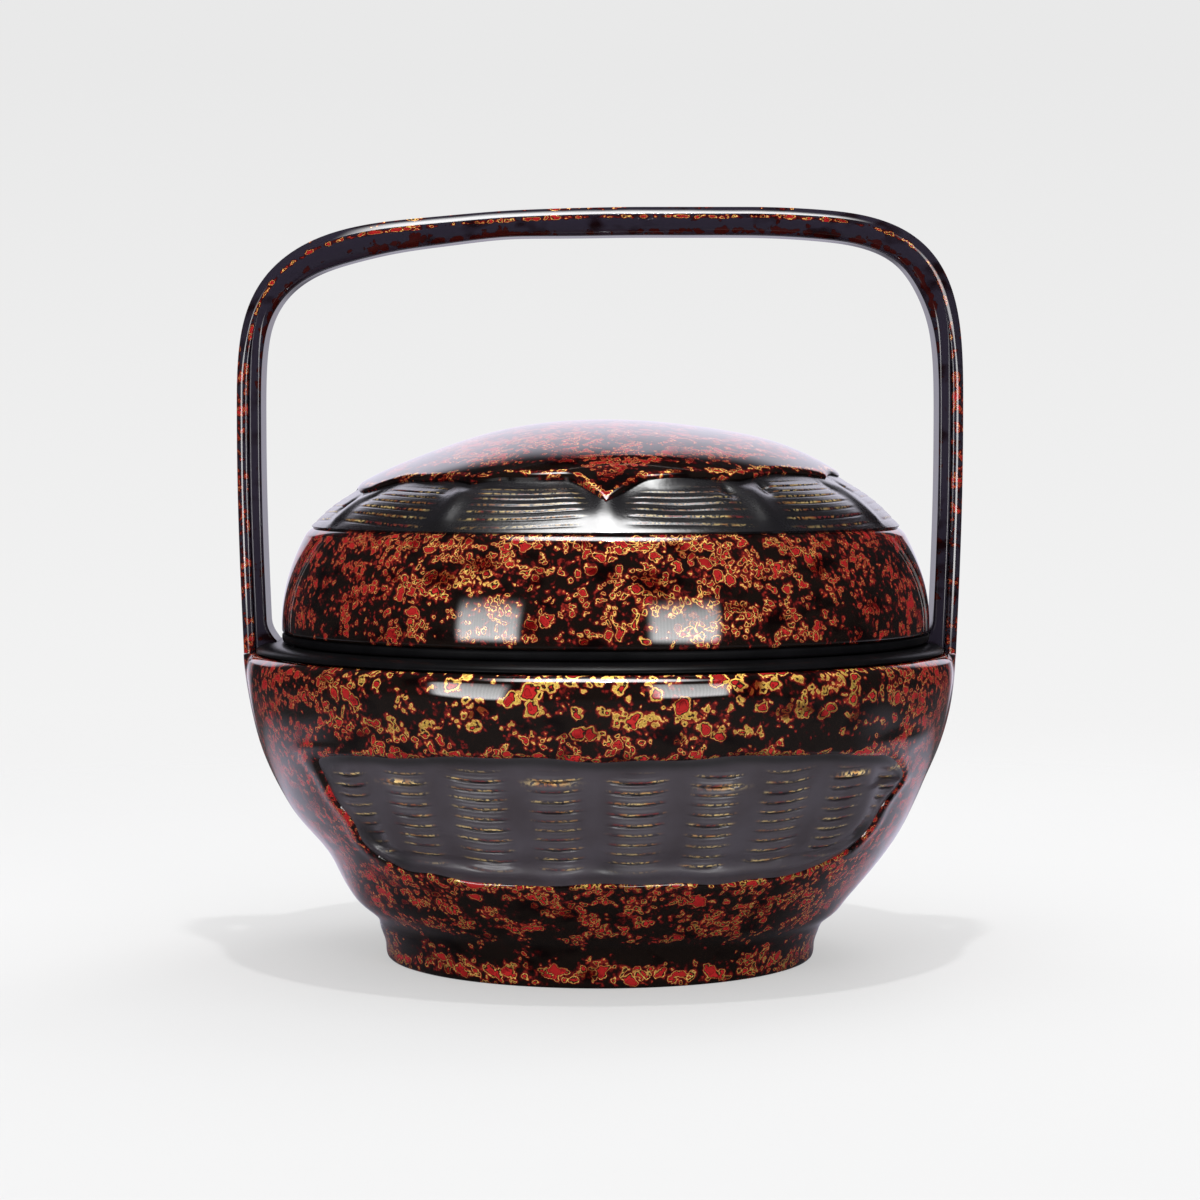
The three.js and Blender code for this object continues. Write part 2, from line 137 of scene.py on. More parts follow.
# Studio
TARGET = (0, 0, 0.11)
FLOOR_RADIUS = 1.2
FLOOR_CORNERS = 96
BOX_DISTANCE = 1.3
BOX_HEIGHT = 0.68
BOX_CLIMB = math.radians(9)
CAMERA_PLACE = (0.0, -1.057, 0.173)
CAMERA_TILT = math.radians(2.78)
CAMERA_LENS = 92.55

# Sizes that follow from these
RIDGE_RADIUS = LID_RADIUS - RIDGE_SET_IN
LID_WIDEST_Z = LID_LOW + LID_WIDEST
DOME_SPAN = RIDGE_RADIUS + DOME_SPREAD
DOME_DEPTH = (CROWN_TOP - RIDGE_Z) / (1 - math.sqrt(1 - (RIDGE_RADIUS / DOME_SPAN) ** 2))


def smooth(low, high, x):
    """0 below low, 1 above high and an even S-curve between them."""
    t = np.clip((x - low) / (high - low), 0, 1)
    return t * t * (3 - 2 * t)


def bump(x, middle, width):
    """A bell curve of height 1 about the middle."""
    return np.exp(-(((x - middle) / width) ** 2))


def smooth_mm(low, high, x):
    """The same S-curve with its limits in millimetres."""
    return smooth(low * MM, high * MM, x)


def bump_mm(x, middle, width):
    """The same bell curve with its middle and width in millimetres."""
    return bump(x, middle * MM, width * MM)


def spaced(*marks):
    """Values that run through the marks, each given as (value, step up to the next mark)."""
    runs = []
    for (start, step), (end, _) in zip(marks, marks[1:]):
        count = max(1, int(math.ceil((end - start) / step)))
        runs.append(np.linspace(start, end, count, endpoint=False))
    runs.append(np.array([marks[-1][0]]))
    return np.concatenate(runs)


def on_ring(theta, radius, height, centre=0.0):
    """Points at an angle from the front and a distance from the upright axis through x = centre."""
    theta, radius, height = np.broadcast_arrays(theta, radius, height)
    return np.stack([centre + radius * np.sin(theta), -radius * np.cos(theta), height], axis=-1)


def grid_faces(rows, columns, ring, loop):
    """Quads of a grid of points, row after row; ring closes the columns up and loop closes the rows up."""
    i = np.arange(rows if loop else rows - 1)[:, None]
    j = np.arange(columns if ring else columns - 1)[None, :]
    up = (i + 1) % rows
    on = (j + 1) % columns
    corners = (i * columns + j, i * columns + on, up * columns + on, up * columns + j)
    return np.stack(np.broadcast_arrays(*corners), -1)


def piece(name, points, material, body, nodes, ring=True, loop=True, marks=None, sharp=50):
    """One mesh from a grid of points, joined to its body, with one value per point for each mark."""
    rows, columns = points.shape[:2]
    faces = grid_faces(rows, columns, ring, loop).reshape(-1, 4)
    mesh = bpy.data.meshes.new(name)
    mesh.vertices.add(rows * columns)
    mesh.vertices.foreach_set("co", points.astype(np.float32).ravel())
    mesh.loops.add(faces.size)
    mesh.loops.foreach_set("vertex_index", faces.astype(np.int32).ravel())
    mesh.polygons.add(len(faces))
    mesh.polygons.foreach_set("loop_start", np.arange(0, faces.size, 4, dtype=np.int32))
    mesh.polygons.foreach_set("use_smooth", np.ones(len(faces), dtype=bool))
    mesh.update(calc_edges=True)
    for mark, values in (marks or {}).items():
        flat = np.broadcast_to(values, (rows, columns)).astype(np.float32).ravel()
        mesh.attributes.new(mark, "FLOAT", "POINT").data.foreach_set("value", flat)
    work = bmesh.new()
    work.from_mesh(mesh)
    bmesh.ops.remove_doubles(work, verts=work.verts, dist=1e-7)
    work.to_mesh(mesh)
    work.free()
    mesh.set_sharp_from_angle(angle=math.radians(sharp))
    mesh.materials.append(material)
    made = bpy.data.objects.new(name, mesh)
    bpy.context.scene.collection.objects.link(made)
    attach(made, body)
    if nodes:
        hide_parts(*nodes)
    return made


def softened(corners, radius, steps=5):
    """A closed outline with each corner turned into a short curve that starts and ends a radius away from
    it."""
    corners = np.asarray(corners, dtype=float)
    before = np.roll(corners, 1, axis=0) - corners
    after = np.roll(corners, -1, axis=0) - corners
    far_before = np.linalg.norm(before, axis=1, keepdims=True)
    far_after = np.linalg.norm(after, axis=1, keepdims=True)
    cut = np.minimum(radius, 0.45 * np.minimum(far_before, far_after))
    start = (corners + before / far_before * cut)[:, None]
    end = (corners + after / far_after * cut)[:, None]
    t = np.linspace(0, 1, steps)[None, :, None]
    curve = (1 - t) ** 2 * start + 2 * t * (1 - t) * corners[:, None] + t ** 2 * end
    return curve.reshape(-1, 2)


def turned(name, outline, material, body, nodes, centre=0.0, columns=240, marks=None):
    """A closed outline of (radius, height) points, given upwards on the outside, turned about the upright
    axis."""
    outline = np.asarray(outline, dtype=float)
    theta = np.linspace(0, 2 * np.pi, columns, endpoint=False)[None, :]
    points = on_ring(theta, np.maximum(outline[:, :1], 0), outline[:, 1:], centre)
    shown = {mark: values.reshape(len(outline), -1) for mark, values in (marks or {}).items()}
    return piece(name, points, material, body, nodes, marks=shown)


# Shape of the bowl


def foot_radius(z):
    """The foot's outer face, drawn in a little towards the table."""
    return NECK_RADIUS - FOOT_SET_IN - FOOT_DRAFT * (1 - z / NECK_Z)


def shoulder_round(z):
    """How far the belly is rounded over at the shoulder, by the square of the height."""
    over = np.maximum(z - WALL_TOP + SHOULDER_SPAN, 0) / SHOULDER_SPAN
    return SHOULDER_ROUND * over ** 2


def belly_radius(z):
    """The bowl's outer face: a bulge by a power of the depth below the rim, tucked in at the neck, rounded
    over at the shoulder and joined to the foot with a soft hollow."""
    depth = np.maximum((WALL_TOP - z) / (WALL_TOP - NECK_Z), 0)
    bulge = NECK_RADIUS + (RIM_RADIUS - NECK_RADIUS) * (1 - depth ** BELLY_FULLNESS)
    bulge = bulge - NECK_TUCK * bump(z, NECK_TUCK_Z, NECK_TUCK_SPAN) - shoulder_round(z)
    below = foot_radius(z)
    blend = np.clip(0.5 + 0.5 * (bulge - below) / FOOT_BLEND, 0, 1)
    return below + (bulge - below) * blend + FOOT_BLEND * blend * (1 - blend)


def window_turn(theta):
    """The angle from the middle of the nearer belly window."""
    return np.mod(theta - WINDOW_TURN + np.pi / 2, np.pi) - np.pi / 2


def window_distance(theta, z):
    """Metres outside the edge of the nearer belly window, below zero inside it. The edge is a squared-off
    oval, laid round the belly, that wanders a little, more so at its two ends."""
    turn = window_turn(theta)
    climb = (z - WINDOW_MIDDLE) / WINDOW_HALF_HEIGHT
    side = np.abs(turn / (WINDOW_HALF_ANGLE * (1 + WINDOW_TAPER * climb)))
    rise = np.abs(climb)
    power = WINDOW_SQUARENESS
    oval = (side ** power + rise ** power + 1e-9) ** (1 / power)
    along = (side / oval) ** (power - 1) / (WINDOW_HALF_ANGLE * BELLY_MEAN_RADIUS)
    across = (rise / oval) ** (power - 1) / WINDOW_HALF_HEIGHT
    distance = (oval - 1) / np.sqrt(along ** 2 + across ** 2 + 1e-6)
    ends = smooth(0.6, 1.0, side)
    wander = 0.45 * np.sin(9 * theta + 0.7) + 0.3 * np.sin(23 * theta + 2.0)
    wander_ends = 1.5 * np.sin(z / (4.6 * MM) + 5 * theta) + 0.9 * np.sin(z / (2.3 * MM) - 4 * theta)
    leaf = 7.0 * bump_mm(z, 66.5, 4.6) * smooth(0.7, 1.0, turn / WINDOW_HALF_ANGLE)
    return distance + MM * (wander + ends * wander_ends - leaf)


def leg_distance(theta, z):
    """Metres round the bowl from the middle of the nearer handle leg."""
    turn = np.abs(np.mod(theta, np.pi) - np.pi / 2)
    return turn * belly_radius(z)


def hand_shape(theta, z):
    """Unevenness of the hand-made bowl: slow waves, a flat on the left and a fullness on the right."""
    waves = 0.20 * np.sin(7 * theta + z / (9 * MM)) + 0.14 * np.sin(13 * theta - z / (6 * MM) + 1.3)
    flat = 3.9 * bump(np.sin(theta), -1, 0.35) * bump_mm(z, 37.5, 11)
    full = 1.0 * bump(np.sin(theta), 1, 0.35) * bump_mm(z, 44, 14)
    neck = 1.4 * bump(np.sin(theta), -1, 0.5) - 0.8 * bump(np.sin(theta), 1, 0.5)
    return MM * (waves * smooth_mm(14, 24, z) - flat + full - neck * bump_mm(z, 16, 3.4))


def coat_relief(theta, z):
    """How far the coat stands off the plain belly: sunk in the windows, swollen round them, raised over the
    legs."""
    distance = window_distance(theta, z)
    sunk = WINDOW_DEPTH * (1 - smooth_mm(-1.3, 1.7, distance))
    sunk = sunk + 1.2 * MM * (1 - smooth_mm(-5, -2, distance))
    swell = 0.5 * MM * bump_mm(distance, 3.2, 3.0)
    legs = LEG_PROUD * smooth_mm(50, 75, z) + shoulder_round(z)
    legs = legs * (1 - smooth(LEG_HALF, 17 * MM, leg_distance(theta, z)))
    return swell - sunk + legs + hand_shape(theta, z)


def chance(a, b):
    """An even but irregular value from 0 to 1 for each pair of whole numbers."""
    return np.mod(np.sin(a * 12.9898 + b * 78.233) * 43758.5453, 1)


def strands(down, group, held):
    """The swelling, the rubbed gold line and the slit of each strand in a group of level strands, all
    from 0 to 1. The slit gives both the slit's depth and the painted shade that darkens it. A strand swells
    out downwards, ends in a slit, and some slits are fainter than others."""
    row = np.floor(down)
    step = down - row
    strength = held * (0.45 + 0.55 * chance(group, row))
    slit = bump(step, 0.80, 0.095) * strength
    gold = bump(step, 0.65, 0.075) * strength
    swollen = bump(step, 0.50, 0.26) * held
    return swollen, gold, slit


def panel_weave(turn, z, distance):
    """The belly's strands and ribs: their relief, the gold lines, the slits with their painted shade and the
    ribs. Short groups of sagging strands stand between broad smooth ribs, neighbouring groups half a row
    apart. Most groups have a gold dash above them."""
    place = (turn - math.radians(2.3)) / (2 * np.pi / BELLY_COLUMNS)
    group = np.round(place)
    across = place - group
    wide = 0.05 * np.sin(3.1 * group + 0.5)
    held = 1 - smooth(0.17 + wide, 0.39 + wide, np.abs(across))
    held = held * smooth_mm(2.5, 6.5, -distance)
    down = (WINDOW_MIDDLE - z) / BELLY_ROW + 0.5 * np.mod(group, 2) - 0.45 * np.cos(np.pi * across)
    down = down + 0.2 * np.sin(2.3 * group) + 0.12 * np.sin(z / (5 * MM) + 2 * group)
    down = down + 0.25 * across * np.sin(4.1 * group)
    swollen, gold, slit = strands(down, group, held)
    dash = bump(z, WINDOW_MIDDLE + 12.2 * MM + MM * np.sin(5 * group), 0.75 * MM)
    dash = dash * bump(across, 0.1 * np.sin(7 * group), 0.2)
    gold = np.maximum(gold, dash * (chance(group, 3) > 0.4))
    rib = 0.5 - 0.5 * np.cos(2 * np.pi * across)
    return MM * (0.45 * swollen - 0.90 * slit), gold, slit, rib


def panel_relief(theta, z):
    """The woven panel's height off the plain belly, with its gold lines and a mask of painted shade for its
    slits, its pits and a band under the window's top edge. Towards the window's edge the weave dies out in a
    soft hollow, with a rolled lip along the bottom, folds at both ends, a crease at the right end and a few
    deep pits."""
    turn = window_turn(theta)
    distance = window_distance(theta, z)
    relief, gold, slit, rib = panel_weave(turn, z, distance)
    low = smooth(0, 1, (WINDOW_MIDDLE - 6 * MM - z) / (8 * MM))
    lip = bump_mm(distance, -2.6, 1.9) * low - 0.7 * bump_mm(distance, -7, 2.6) * low
    ends = smooth(0.68, 0.95, np.abs(turn / WINDOW_HALF_ANGLE))
    fold = np.cos(turn * 34 + z / (6.5 * MM) * np.sign(turn) + 0.6)
    pits = bump(turn, -0.86, 0.05) * bump_mm(z, 49, 5)
    pits = pits + bump(turn, -0.76, 0.06) * bump_mm(z, 41.5, 3)
    pits = pits + bump(turn, 0.885, 0.045) * bump_mm(z, 49, 4)
    pits = pits + 0.6 * bump(turn, -0.03, 0.05) * bump_mm(z, 42, 2.5)
    slow = 0.18 * np.sin(theta * 11 + z / (7 * MM)) + 0.12 * np.sin(theta * 29 - z / (11 * MM))
    inside = smooth_mm(1, 6.5, -distance)
    height = relief + MM * (0.60 * rib * inside + lip + slow - 0.55 - 0.65 * inside)
    outward = np.clip((turn / WINDOW_HALF_ANGLE - 0.76) / 0.24, 0, 1)
    over = z - (63.2 + 3.4 * outward) * MM
    crease = 0.9 * smooth_mm(0.9, -0.9, over) * bump(over, 0, 11 * MM)
    crease = crease - 1.1 * smooth_mm(-0.9, 0.9, over) * bump(over, 0, 7 * MM)
    near = smooth_mm(0.3, 4, -distance)
    height = height + MM * near * (outward * crease + 0.55 * fold * ends * inside - 1.6 * pits)
    height = np.maximum(height, -WEAVE_DEPTH) + hand_shape(theta, z)
    # Painted shade: a dark band just under the window's top edge
    shade = 0.75 * bump_mm(distance, -0.5, 1.8) * smooth(WINDOW_MIDDLE, WINDOW_MIDDLE + 8 * MM, z)
    # The last value is painted shade, darkening the slits, the pits and the band under the top edge
    return height, gold, np.clip(slit + 0.7 * pits + shade, 0, 1)


# Shape of the lid


def lid_side_radius(z):
    """The lid's side: upright at its widest and drawn in with the square of the height above that."""
    return LID_RADIUS - RIDGE_SET_IN * ((z - LID_WIDEST_Z) / (RIDGE_Z - LID_WIDEST_Z)) ** 2


def dome_height(r):
    """The lid's dome: a flattened cap of an ellipsoid."""
    inside = np.clip(1 - (r / DOME_SPAN) ** 2, 0, None)
    return CROWN_TOP - DOME_DEPTH * (1 - np.sqrt(inside))


def dome_uneven(theta, r):
    """The hand-made dome is fuller on its right flank than on its left."""
    return 1.5 * MM * np.sin(theta) * bump_mm(r, 62, 22)


def cusp_turn(theta):
    """The angle from the nearest cusp of the crown's edge, and that cusp's number."""
    number = np.round(theta / CUSP_PITCH)
    return theta - number * CUSP_PITCH, np.mod(number, CUSPS)


def crown_edge(theta):
    """Radius of the crown coat's edge: long shallow scallops that meet in cusps, most of them faint and two
    deep."""
    turn, number = cusp_turn(theta)
    deep = (number == 0) * 8.5 + (number == 6) * 7.5
    length = MM * (2.2 + 1.4 * np.sin(2.6 * number + 1.1) + deep)
    near = np.clip(1 - np.abs(turn) / (CUSP_WIDTH * (1 + 0.1 * (deep > 0))), 0, 1)
    wave = 0.9 * MM * np.sin(5 * theta + 0.4) + 0.5 * MM * np.sin(14 * theta)
    reach = 7 * MM * smooth(0.80, 0.99, -np.sin(theta))
    return CROWN_EDGE + wave + reach + length * near ** CUSP_POWER


def band_relief(theta, radius):
    """The woven band's height off the dome, with its gold lines and a mask of painted shade for its slits and
    dimples. Level strands run between smooth ribs that come down from the cusps, below a deep soft hollow
    under the crown's edge."""
    turn, number = cusp_turn(theta)
    across = np.abs(turn) / CUSP_PITCH
    half = np.floor(theta / CUSP_PITCH)
    down = radius - crown_edge(theta)
    up = RIDGE_RADIUS - radius
    held = smooth(0.10, 0.22, across) * smooth_mm(3.0, 6.0, down) * smooth_mm(0.8, 2.0, up)
    tilt = 0.35 * np.sin(5 * theta + 1.0)
    swollen, gold, slit = strands((radius - CROWN_EDGE) / LID_ROW + tilt, half, held)
    relief = MM * (0.07 * swollen - 0.28 * slit)
    rib = bump(across, 0, 0.075) * smooth_mm(-1, 6, down) * smooth(0, 4 * MM, up)
    dimple = bump(across, 0.15, 0.045) * bump_mm(down, 6, 3.5) * chance(number, np.sign(turn)) * (number != 0)
    hollow = MM * (0.8 + 1.3 * bump(np.sin(theta), 0, 0.6)) * bump_mm(down, 1.5, 7) + 0.4 * MM
    middle = bump(across, 0, 0.09) * (number == 0)
    right = bump(np.sin(theta), 0.24, 0.15) * (np.cos(theta) > 0)
    left = bump(np.sin(theta), -0.25, 0.16) * (np.cos(theta) > 0)
    hollow = hollow * (1 - 0.8 * middle) * (1 - 0.95 * right) * (1 - 0.3 * left)
    basin = smooth_mm(-3, 6, down) * np.clip(up / (9.5 * MM), 0, 1)
    hollow = hollow + MM * (2.2 * right + 1.0 * left) * (1 - middle) * basin
    lift = relief + 0.75 * MM * rib * (1 - 0.7 * middle) - 1.3 * MM * dimple
    # The last value is painted shade, darkening the slits and the dimples
    return lift - hollow * smooth_mm(-0.5, 3.2, up), 0.7 * gold, np.clip(slit + 0.5 * dimple, 0, 1)


# Shape of the handle


def handle_outline(count):
    """The handle's outer face from the front, as (x, z): legs that lean out from the rim to the corners,
    corners turned as squared-off ovals of different reach, and a bar between them. Even steps along its
    length."""
    corner_z = HANDLE_TOP - CORNER_DROP
    up = np.linspace(WALL_TOP - 12 * MM, corner_z, 90)
    share = np.clip((up - WALL_TOP) / (corner_z - WALL_TOP), 0, 1)
    below = np.maximum(WALL_TOP - up, 0)
    leg = HANDLE_HALF - LEG_LEAN * (1 - np.sin(np.pi / 2 * share)) - below ** 2 / (40 * MM)
    turn = np.linspace(0, np.pi / 2, 400)[1:]
    side = np.maximum(np.cos(turn), 0) ** (2 / CORNER_SQUARENESS)
    rise = np.sin(turn) ** (2 / CORNER_SQUARENESS)
    left = np.stack([-HANDLE_HALF + LEFT_REACH * (1 - side), corner_z + CORNER_DROP * rise], -1)
    right = np.stack([HANDLE_HALF - RIGHT_REACH * (1 - side), corner_z + CORNER_DROP * rise], -1)
    path = np.concatenate([np.stack([-leg, up], -1), left, right[::-1], np.stack([leg, up], -1)[::-1]])
    run = np.concatenate([[0], np.cumsum(np.linalg.norm(np.diff(path, axis=0), axis=1))])
    even = np.linspace(0, run[-1], count)
    return np.stack([np.interp(even, run, path[:, 0]), np.interp(even, run, path[:, 1])], -1)


def strip(path, near, far, near_edge, far_edge, crown, slant, bevel=1):
    """A flat strip bent along the handle's outline, between two distances inside it, with rounded edges, a
    front and back that are crowned across the whole handle and slant together inwards, and closed ends. All
    but the path may change along it. A bevel of more than 1 flattens the outer edges. Also gives each
    point's distance inside the outline."""
    ahead = np.gradient(path, axis=0)
    ahead = ahead / np.linalg.norm(ahead, axis=1, keepdims=True)
    inward = np.stack([ahead[:, 1], -ahead[:, 0]], -1)
    sizes = (near, far, near_edge, far_edge, crown, slant, bevel)
    sizes = (np.broadcast_to(size, (len(path),))[:, None] for size in sizes)
    near, far, near_edge, far_edge, crown, slant, bevel = sizes
    half = HANDLE_DEPTH / 2
    turn = np.linspace(0, np.pi / 2, 11)[None, :]
    one = np.ones_like(near)
    steep = near_edge * (1 - 0.16 * (bevel - 1))
    flat = 0.35 * np.maximum(far - near - near_edge - far_edge, 0)
    sine = np.concatenate([-flat / near_edge, np.sin(turn) ** bevel, one], 1)
    cosine = np.concatenate([one, np.cos(turn) ** bevel, -0.8 * one], 1)
    far_sine = np.concatenate([-flat / far_edge, np.sin(turn) * one, one], 1)
    far_cosine = np.concatenate([one, np.cos(turn) * one, -flat / far_edge], 1)
    into = np.concatenate([near + near_edge * (1 - sine), near + near_edge * (1 - sine[:, ::-1]),
                           far - far_edge * (1 - far_sine), far - far_edge * (1 - far_cosine)], 1)
    wide = np.concatenate([half - steep * (1 - cosine), steep * (1 - cosine[:, ::-1]) - half,
                           far_edge * (1 - far_cosine) - half, half - far_edge * (1 - far_sine)], 1)
    middle = STRIP + STRIP_GAP / 2
    crowned = crown / half * ((into - middle) / middle) ** 2
    wide = wide * (1 - crowned - slant / half * into / (2 * middle))
    spot = path[:, None, :] + inward[:, None, :] * into[..., None]
    points = np.stack([spot[..., 0], wide, spot[..., 1]], -1)
    first = np.broadcast_to(points[:1].mean(axis=1, keepdims=True), points[:1].shape)
    last = np.broadcast_to(points[-1:].mean(axis=1, keepdims=True), points[-1:].shape)
    return np.concatenate([first, points, last]), np.concatenate([into[:1], into, into[-1:]])


# Finishes


def add(tree, kind, inputs=None, **settings):
    """One shader node, with its inputs linked or set."""
    made = tree.nodes.new("ShaderNode" + kind)
    for key, value in settings.items():
        setattr(made, key, value)
    for key, value in (inputs or {}).items():
        if isinstance(value, bpy.types.NodeSocket):
            tree.links.new(value, made.inputs[key])
        else:
            made.inputs[key].default_value = value
    return made


def calc(tree, operation, a, b=0.0, plus=None, clamp=False):
    """One sum on two values, or their product plus a third."""
    inputs = {0: a, 1: b} if plus is None else {0: a, 1: b, 2: plus}
    return add(tree, "Math", inputs, operation=operation, use_clamp=clamp).outputs[0]


def noise(tree, place, scale, detail, output="Fac", dimensions="3D", **more):
    """Cloudy noise by place, finer with a larger scale."""
    inputs = {"Vector": place, "Scale": scale, "Detail": detail, **more}
    return add(tree, "TexNoise", inputs, noise_dimensions=dimensions).outputs[output]


def point_value(tree, name):
    """A value that the mesh carries at each of its points."""
    return add(tree, "Attribute", attribute_name=name).outputs["Fac"]


def mixed(tree, factor, under, over, way="MIX"):
    """One colour laid over another, or multiplied with it, by a factor."""
    inputs = {"Factor": factor, 6: under, 7: over}
    return add(tree, "Mix", inputs, data_type="RGBA", blend_type=way).outputs[2]


def ranged(tree, value, start, end, soft=True):
    """0 at the start and 1 at the end, by an S-curve if soft and else straight."""
    inputs = {"Value": value, "From Min": start, "From Max": end}
    curve = "SMOOTHSTEP" if soft else "LINEAR"
    return add(tree, "MapRange", inputs, interpolation_type=curve).outputs[0]


def ramp(tree, factor, stops):
    """Colours by the factor, from (place, (red, green, blue)) stops."""
    made = add(tree, "ValToRGB", {"Fac": factor})
    points = made.color_ramp.elements
    while len(points) < len(stops):
        points.new(0.5)
    for point, (place, colour) in zip(points, stops):
        point.position = place
        point.color = (*colour, 1)
    return made.outputs["Color"]


def new_finish(name, constants):
    """A material, its node tree, its surface shader with the constants set, and the place on the object."""
    made = bpy.data.materials.new(name)
    made.use_nodes = True
    tree = made.node_tree
    tree.nodes.clear()
    shader = add(tree, "BsdfPrincipled", constants)
    output = add(tree, "OutputMaterial")
    tree.links.new(shader.outputs["BSDF"], output.inputs["Surface"])
    return made, tree, shader, add(tree, "TexCoord").outputs["Object"]


def uneven(tree, shader, height, strength, depth, sockets=("Normal",)):
    """Tilts a shader's surface by a height."""
    relief = add(tree, "Bump", {"Height": height, "Strength": strength, "Distance": depth})
    for socket in sockets:
        tree.links.new(relief.outputs[0], shader.inputs[socket])


def spots(tree, place, drift, rich, cell, base, spread, sway):
    """Height of a field of uneven spots above their edges, in millimetres. Spots are larger where the drift
    is strong and the piece is rich, up to the size at which neighbours just run together."""
    inputs = {"Vector": place, "Scale": 1 / cell, "Smoothness": 0.12, "Randomness": 1.0}
    cells = add(tree, "TexVoronoi", inputs, voronoi_dimensions="3D", feature="SMOOTH_F1")
    split = add(tree, "SeparateColor", {"Color": cells.outputs["Color"]})
    size = calc(tree, "MULTIPLY_ADD", split.outputs["Red"], spread, base)
    swayed = calc(tree, "MULTIPLY_ADD", calc(tree, "SUBTRACT", drift, 0.5), sway, size)
    grown = calc(tree, "MINIMUM", calc(tree, "ADD", swayed, rich), SPOT_LIMIT)
    return calc(tree, "MULTIPLY", calc(tree, "SUBTRACT", grown, cells.outputs["Distance"]), cell / MM)


def marble_height(tree, moved, level, big, small):
    """Height of large and tiny spots together, in millimetres, with lacy edges. The marks richness and
    coarse steer how many spots there are and how large they are."""
    rich = point_value(tree, "richness")
    coarse = point_value(tree, "coarse")
    sway = noise(tree, moved, 210, 2.5, "Color")
    sway = add(tree, "VectorMath", {0: sway, 1: (0.5, 0.5, 0.5)}, operation="SUBTRACT").outputs[0]
    sway = add(tree, "VectorMath", {0: sway, "Scale": 0.006}, operation="SCALE").outputs[0]
    place = add(tree, "VectorMath", {0: moved, 1: sway}, operation="ADD").outputs[0]
    more_coarse = calc(tree, "MULTIPLY", calc(tree, "SUBTRACT", coarse, 1.0), 0.35)
    large_rich = calc(tree, "ADD", rich, more_coarse)
    large = spots(tree, place, noise(tree, level, 62, 2.0), large_rich, big, 0.14, 0.30, 1.9)
    tiny_rich = calc(tree, "SUBTRACT", rich, calc(tree, "MULTIPLY", coarse, 0.20))
    tiny = spots(tree, place, noise(tree, level, 88, 2.0), tiny_rich, small, 0.22, 0.28, 2.6)
    lace = calc(tree, "SUBTRACT", noise(tree, moved, 400, 2.5, Roughness=0.55), 0.5)
    return calc(tree, "MULTIPLY_ADD", lace, 2.9, calc(tree, "MAXIMUM", large, tiny))


def layer_place(tree, height, ring):
    """Where a height lies in the layers of the lacquer, from 0 to 1. A spot's inside is steeper where the
    mark ring is low, skips its outer gold below zero, and holds its gold powder over a wider band above
    zero."""
    steep = calc(tree, "MULTIPLY_ADD", ring, -0.5, 1.7)
    inner = calc(tree, "MULTIPLY", calc(tree, "MAXIMUM", height, 0.0), steep)
    skipped = calc(tree, "MINIMUM", calc(tree, "MULTIPLY", inner, 8.0), 0.24)
    skipped = calc(tree, "MULTIPLY", skipped, calc(tree, "MULTIPLY", ring, -1.0, clamp=True))
    inner = calc(tree, "ADD", inner, skipped)
    wide = calc(tree, "MULTIPLY_ADD", calc(tree, "MAXIMUM", ring, 0.0), 0.45, 0.05)
    past_line = calc(tree, "MAXIMUM", calc(tree, "SUBTRACT", inner, GOLD_LINE), 0.0)
    inner = calc(tree, "SUBTRACT", inner, calc(tree, "MINIMUM", past_line, wide))
    outer = calc(tree, "MULTIPLY", calc(tree, "MINIMUM", height, 0.0), 1.25)
    return calc(tree, "MULTIPLY_ADD", calc(tree, "ADD", inner, outer), 1 / SPOT_SPAN, HAZE / SPOT_SPAN)


def layered(tree, shown, layers):
    """Colours by the place in the layers, from (height in millimetres, colour) stops."""
    return ramp(tree, shown, [((at + HAZE) / SPOT_SPAN, tint) for at, tint in layers])


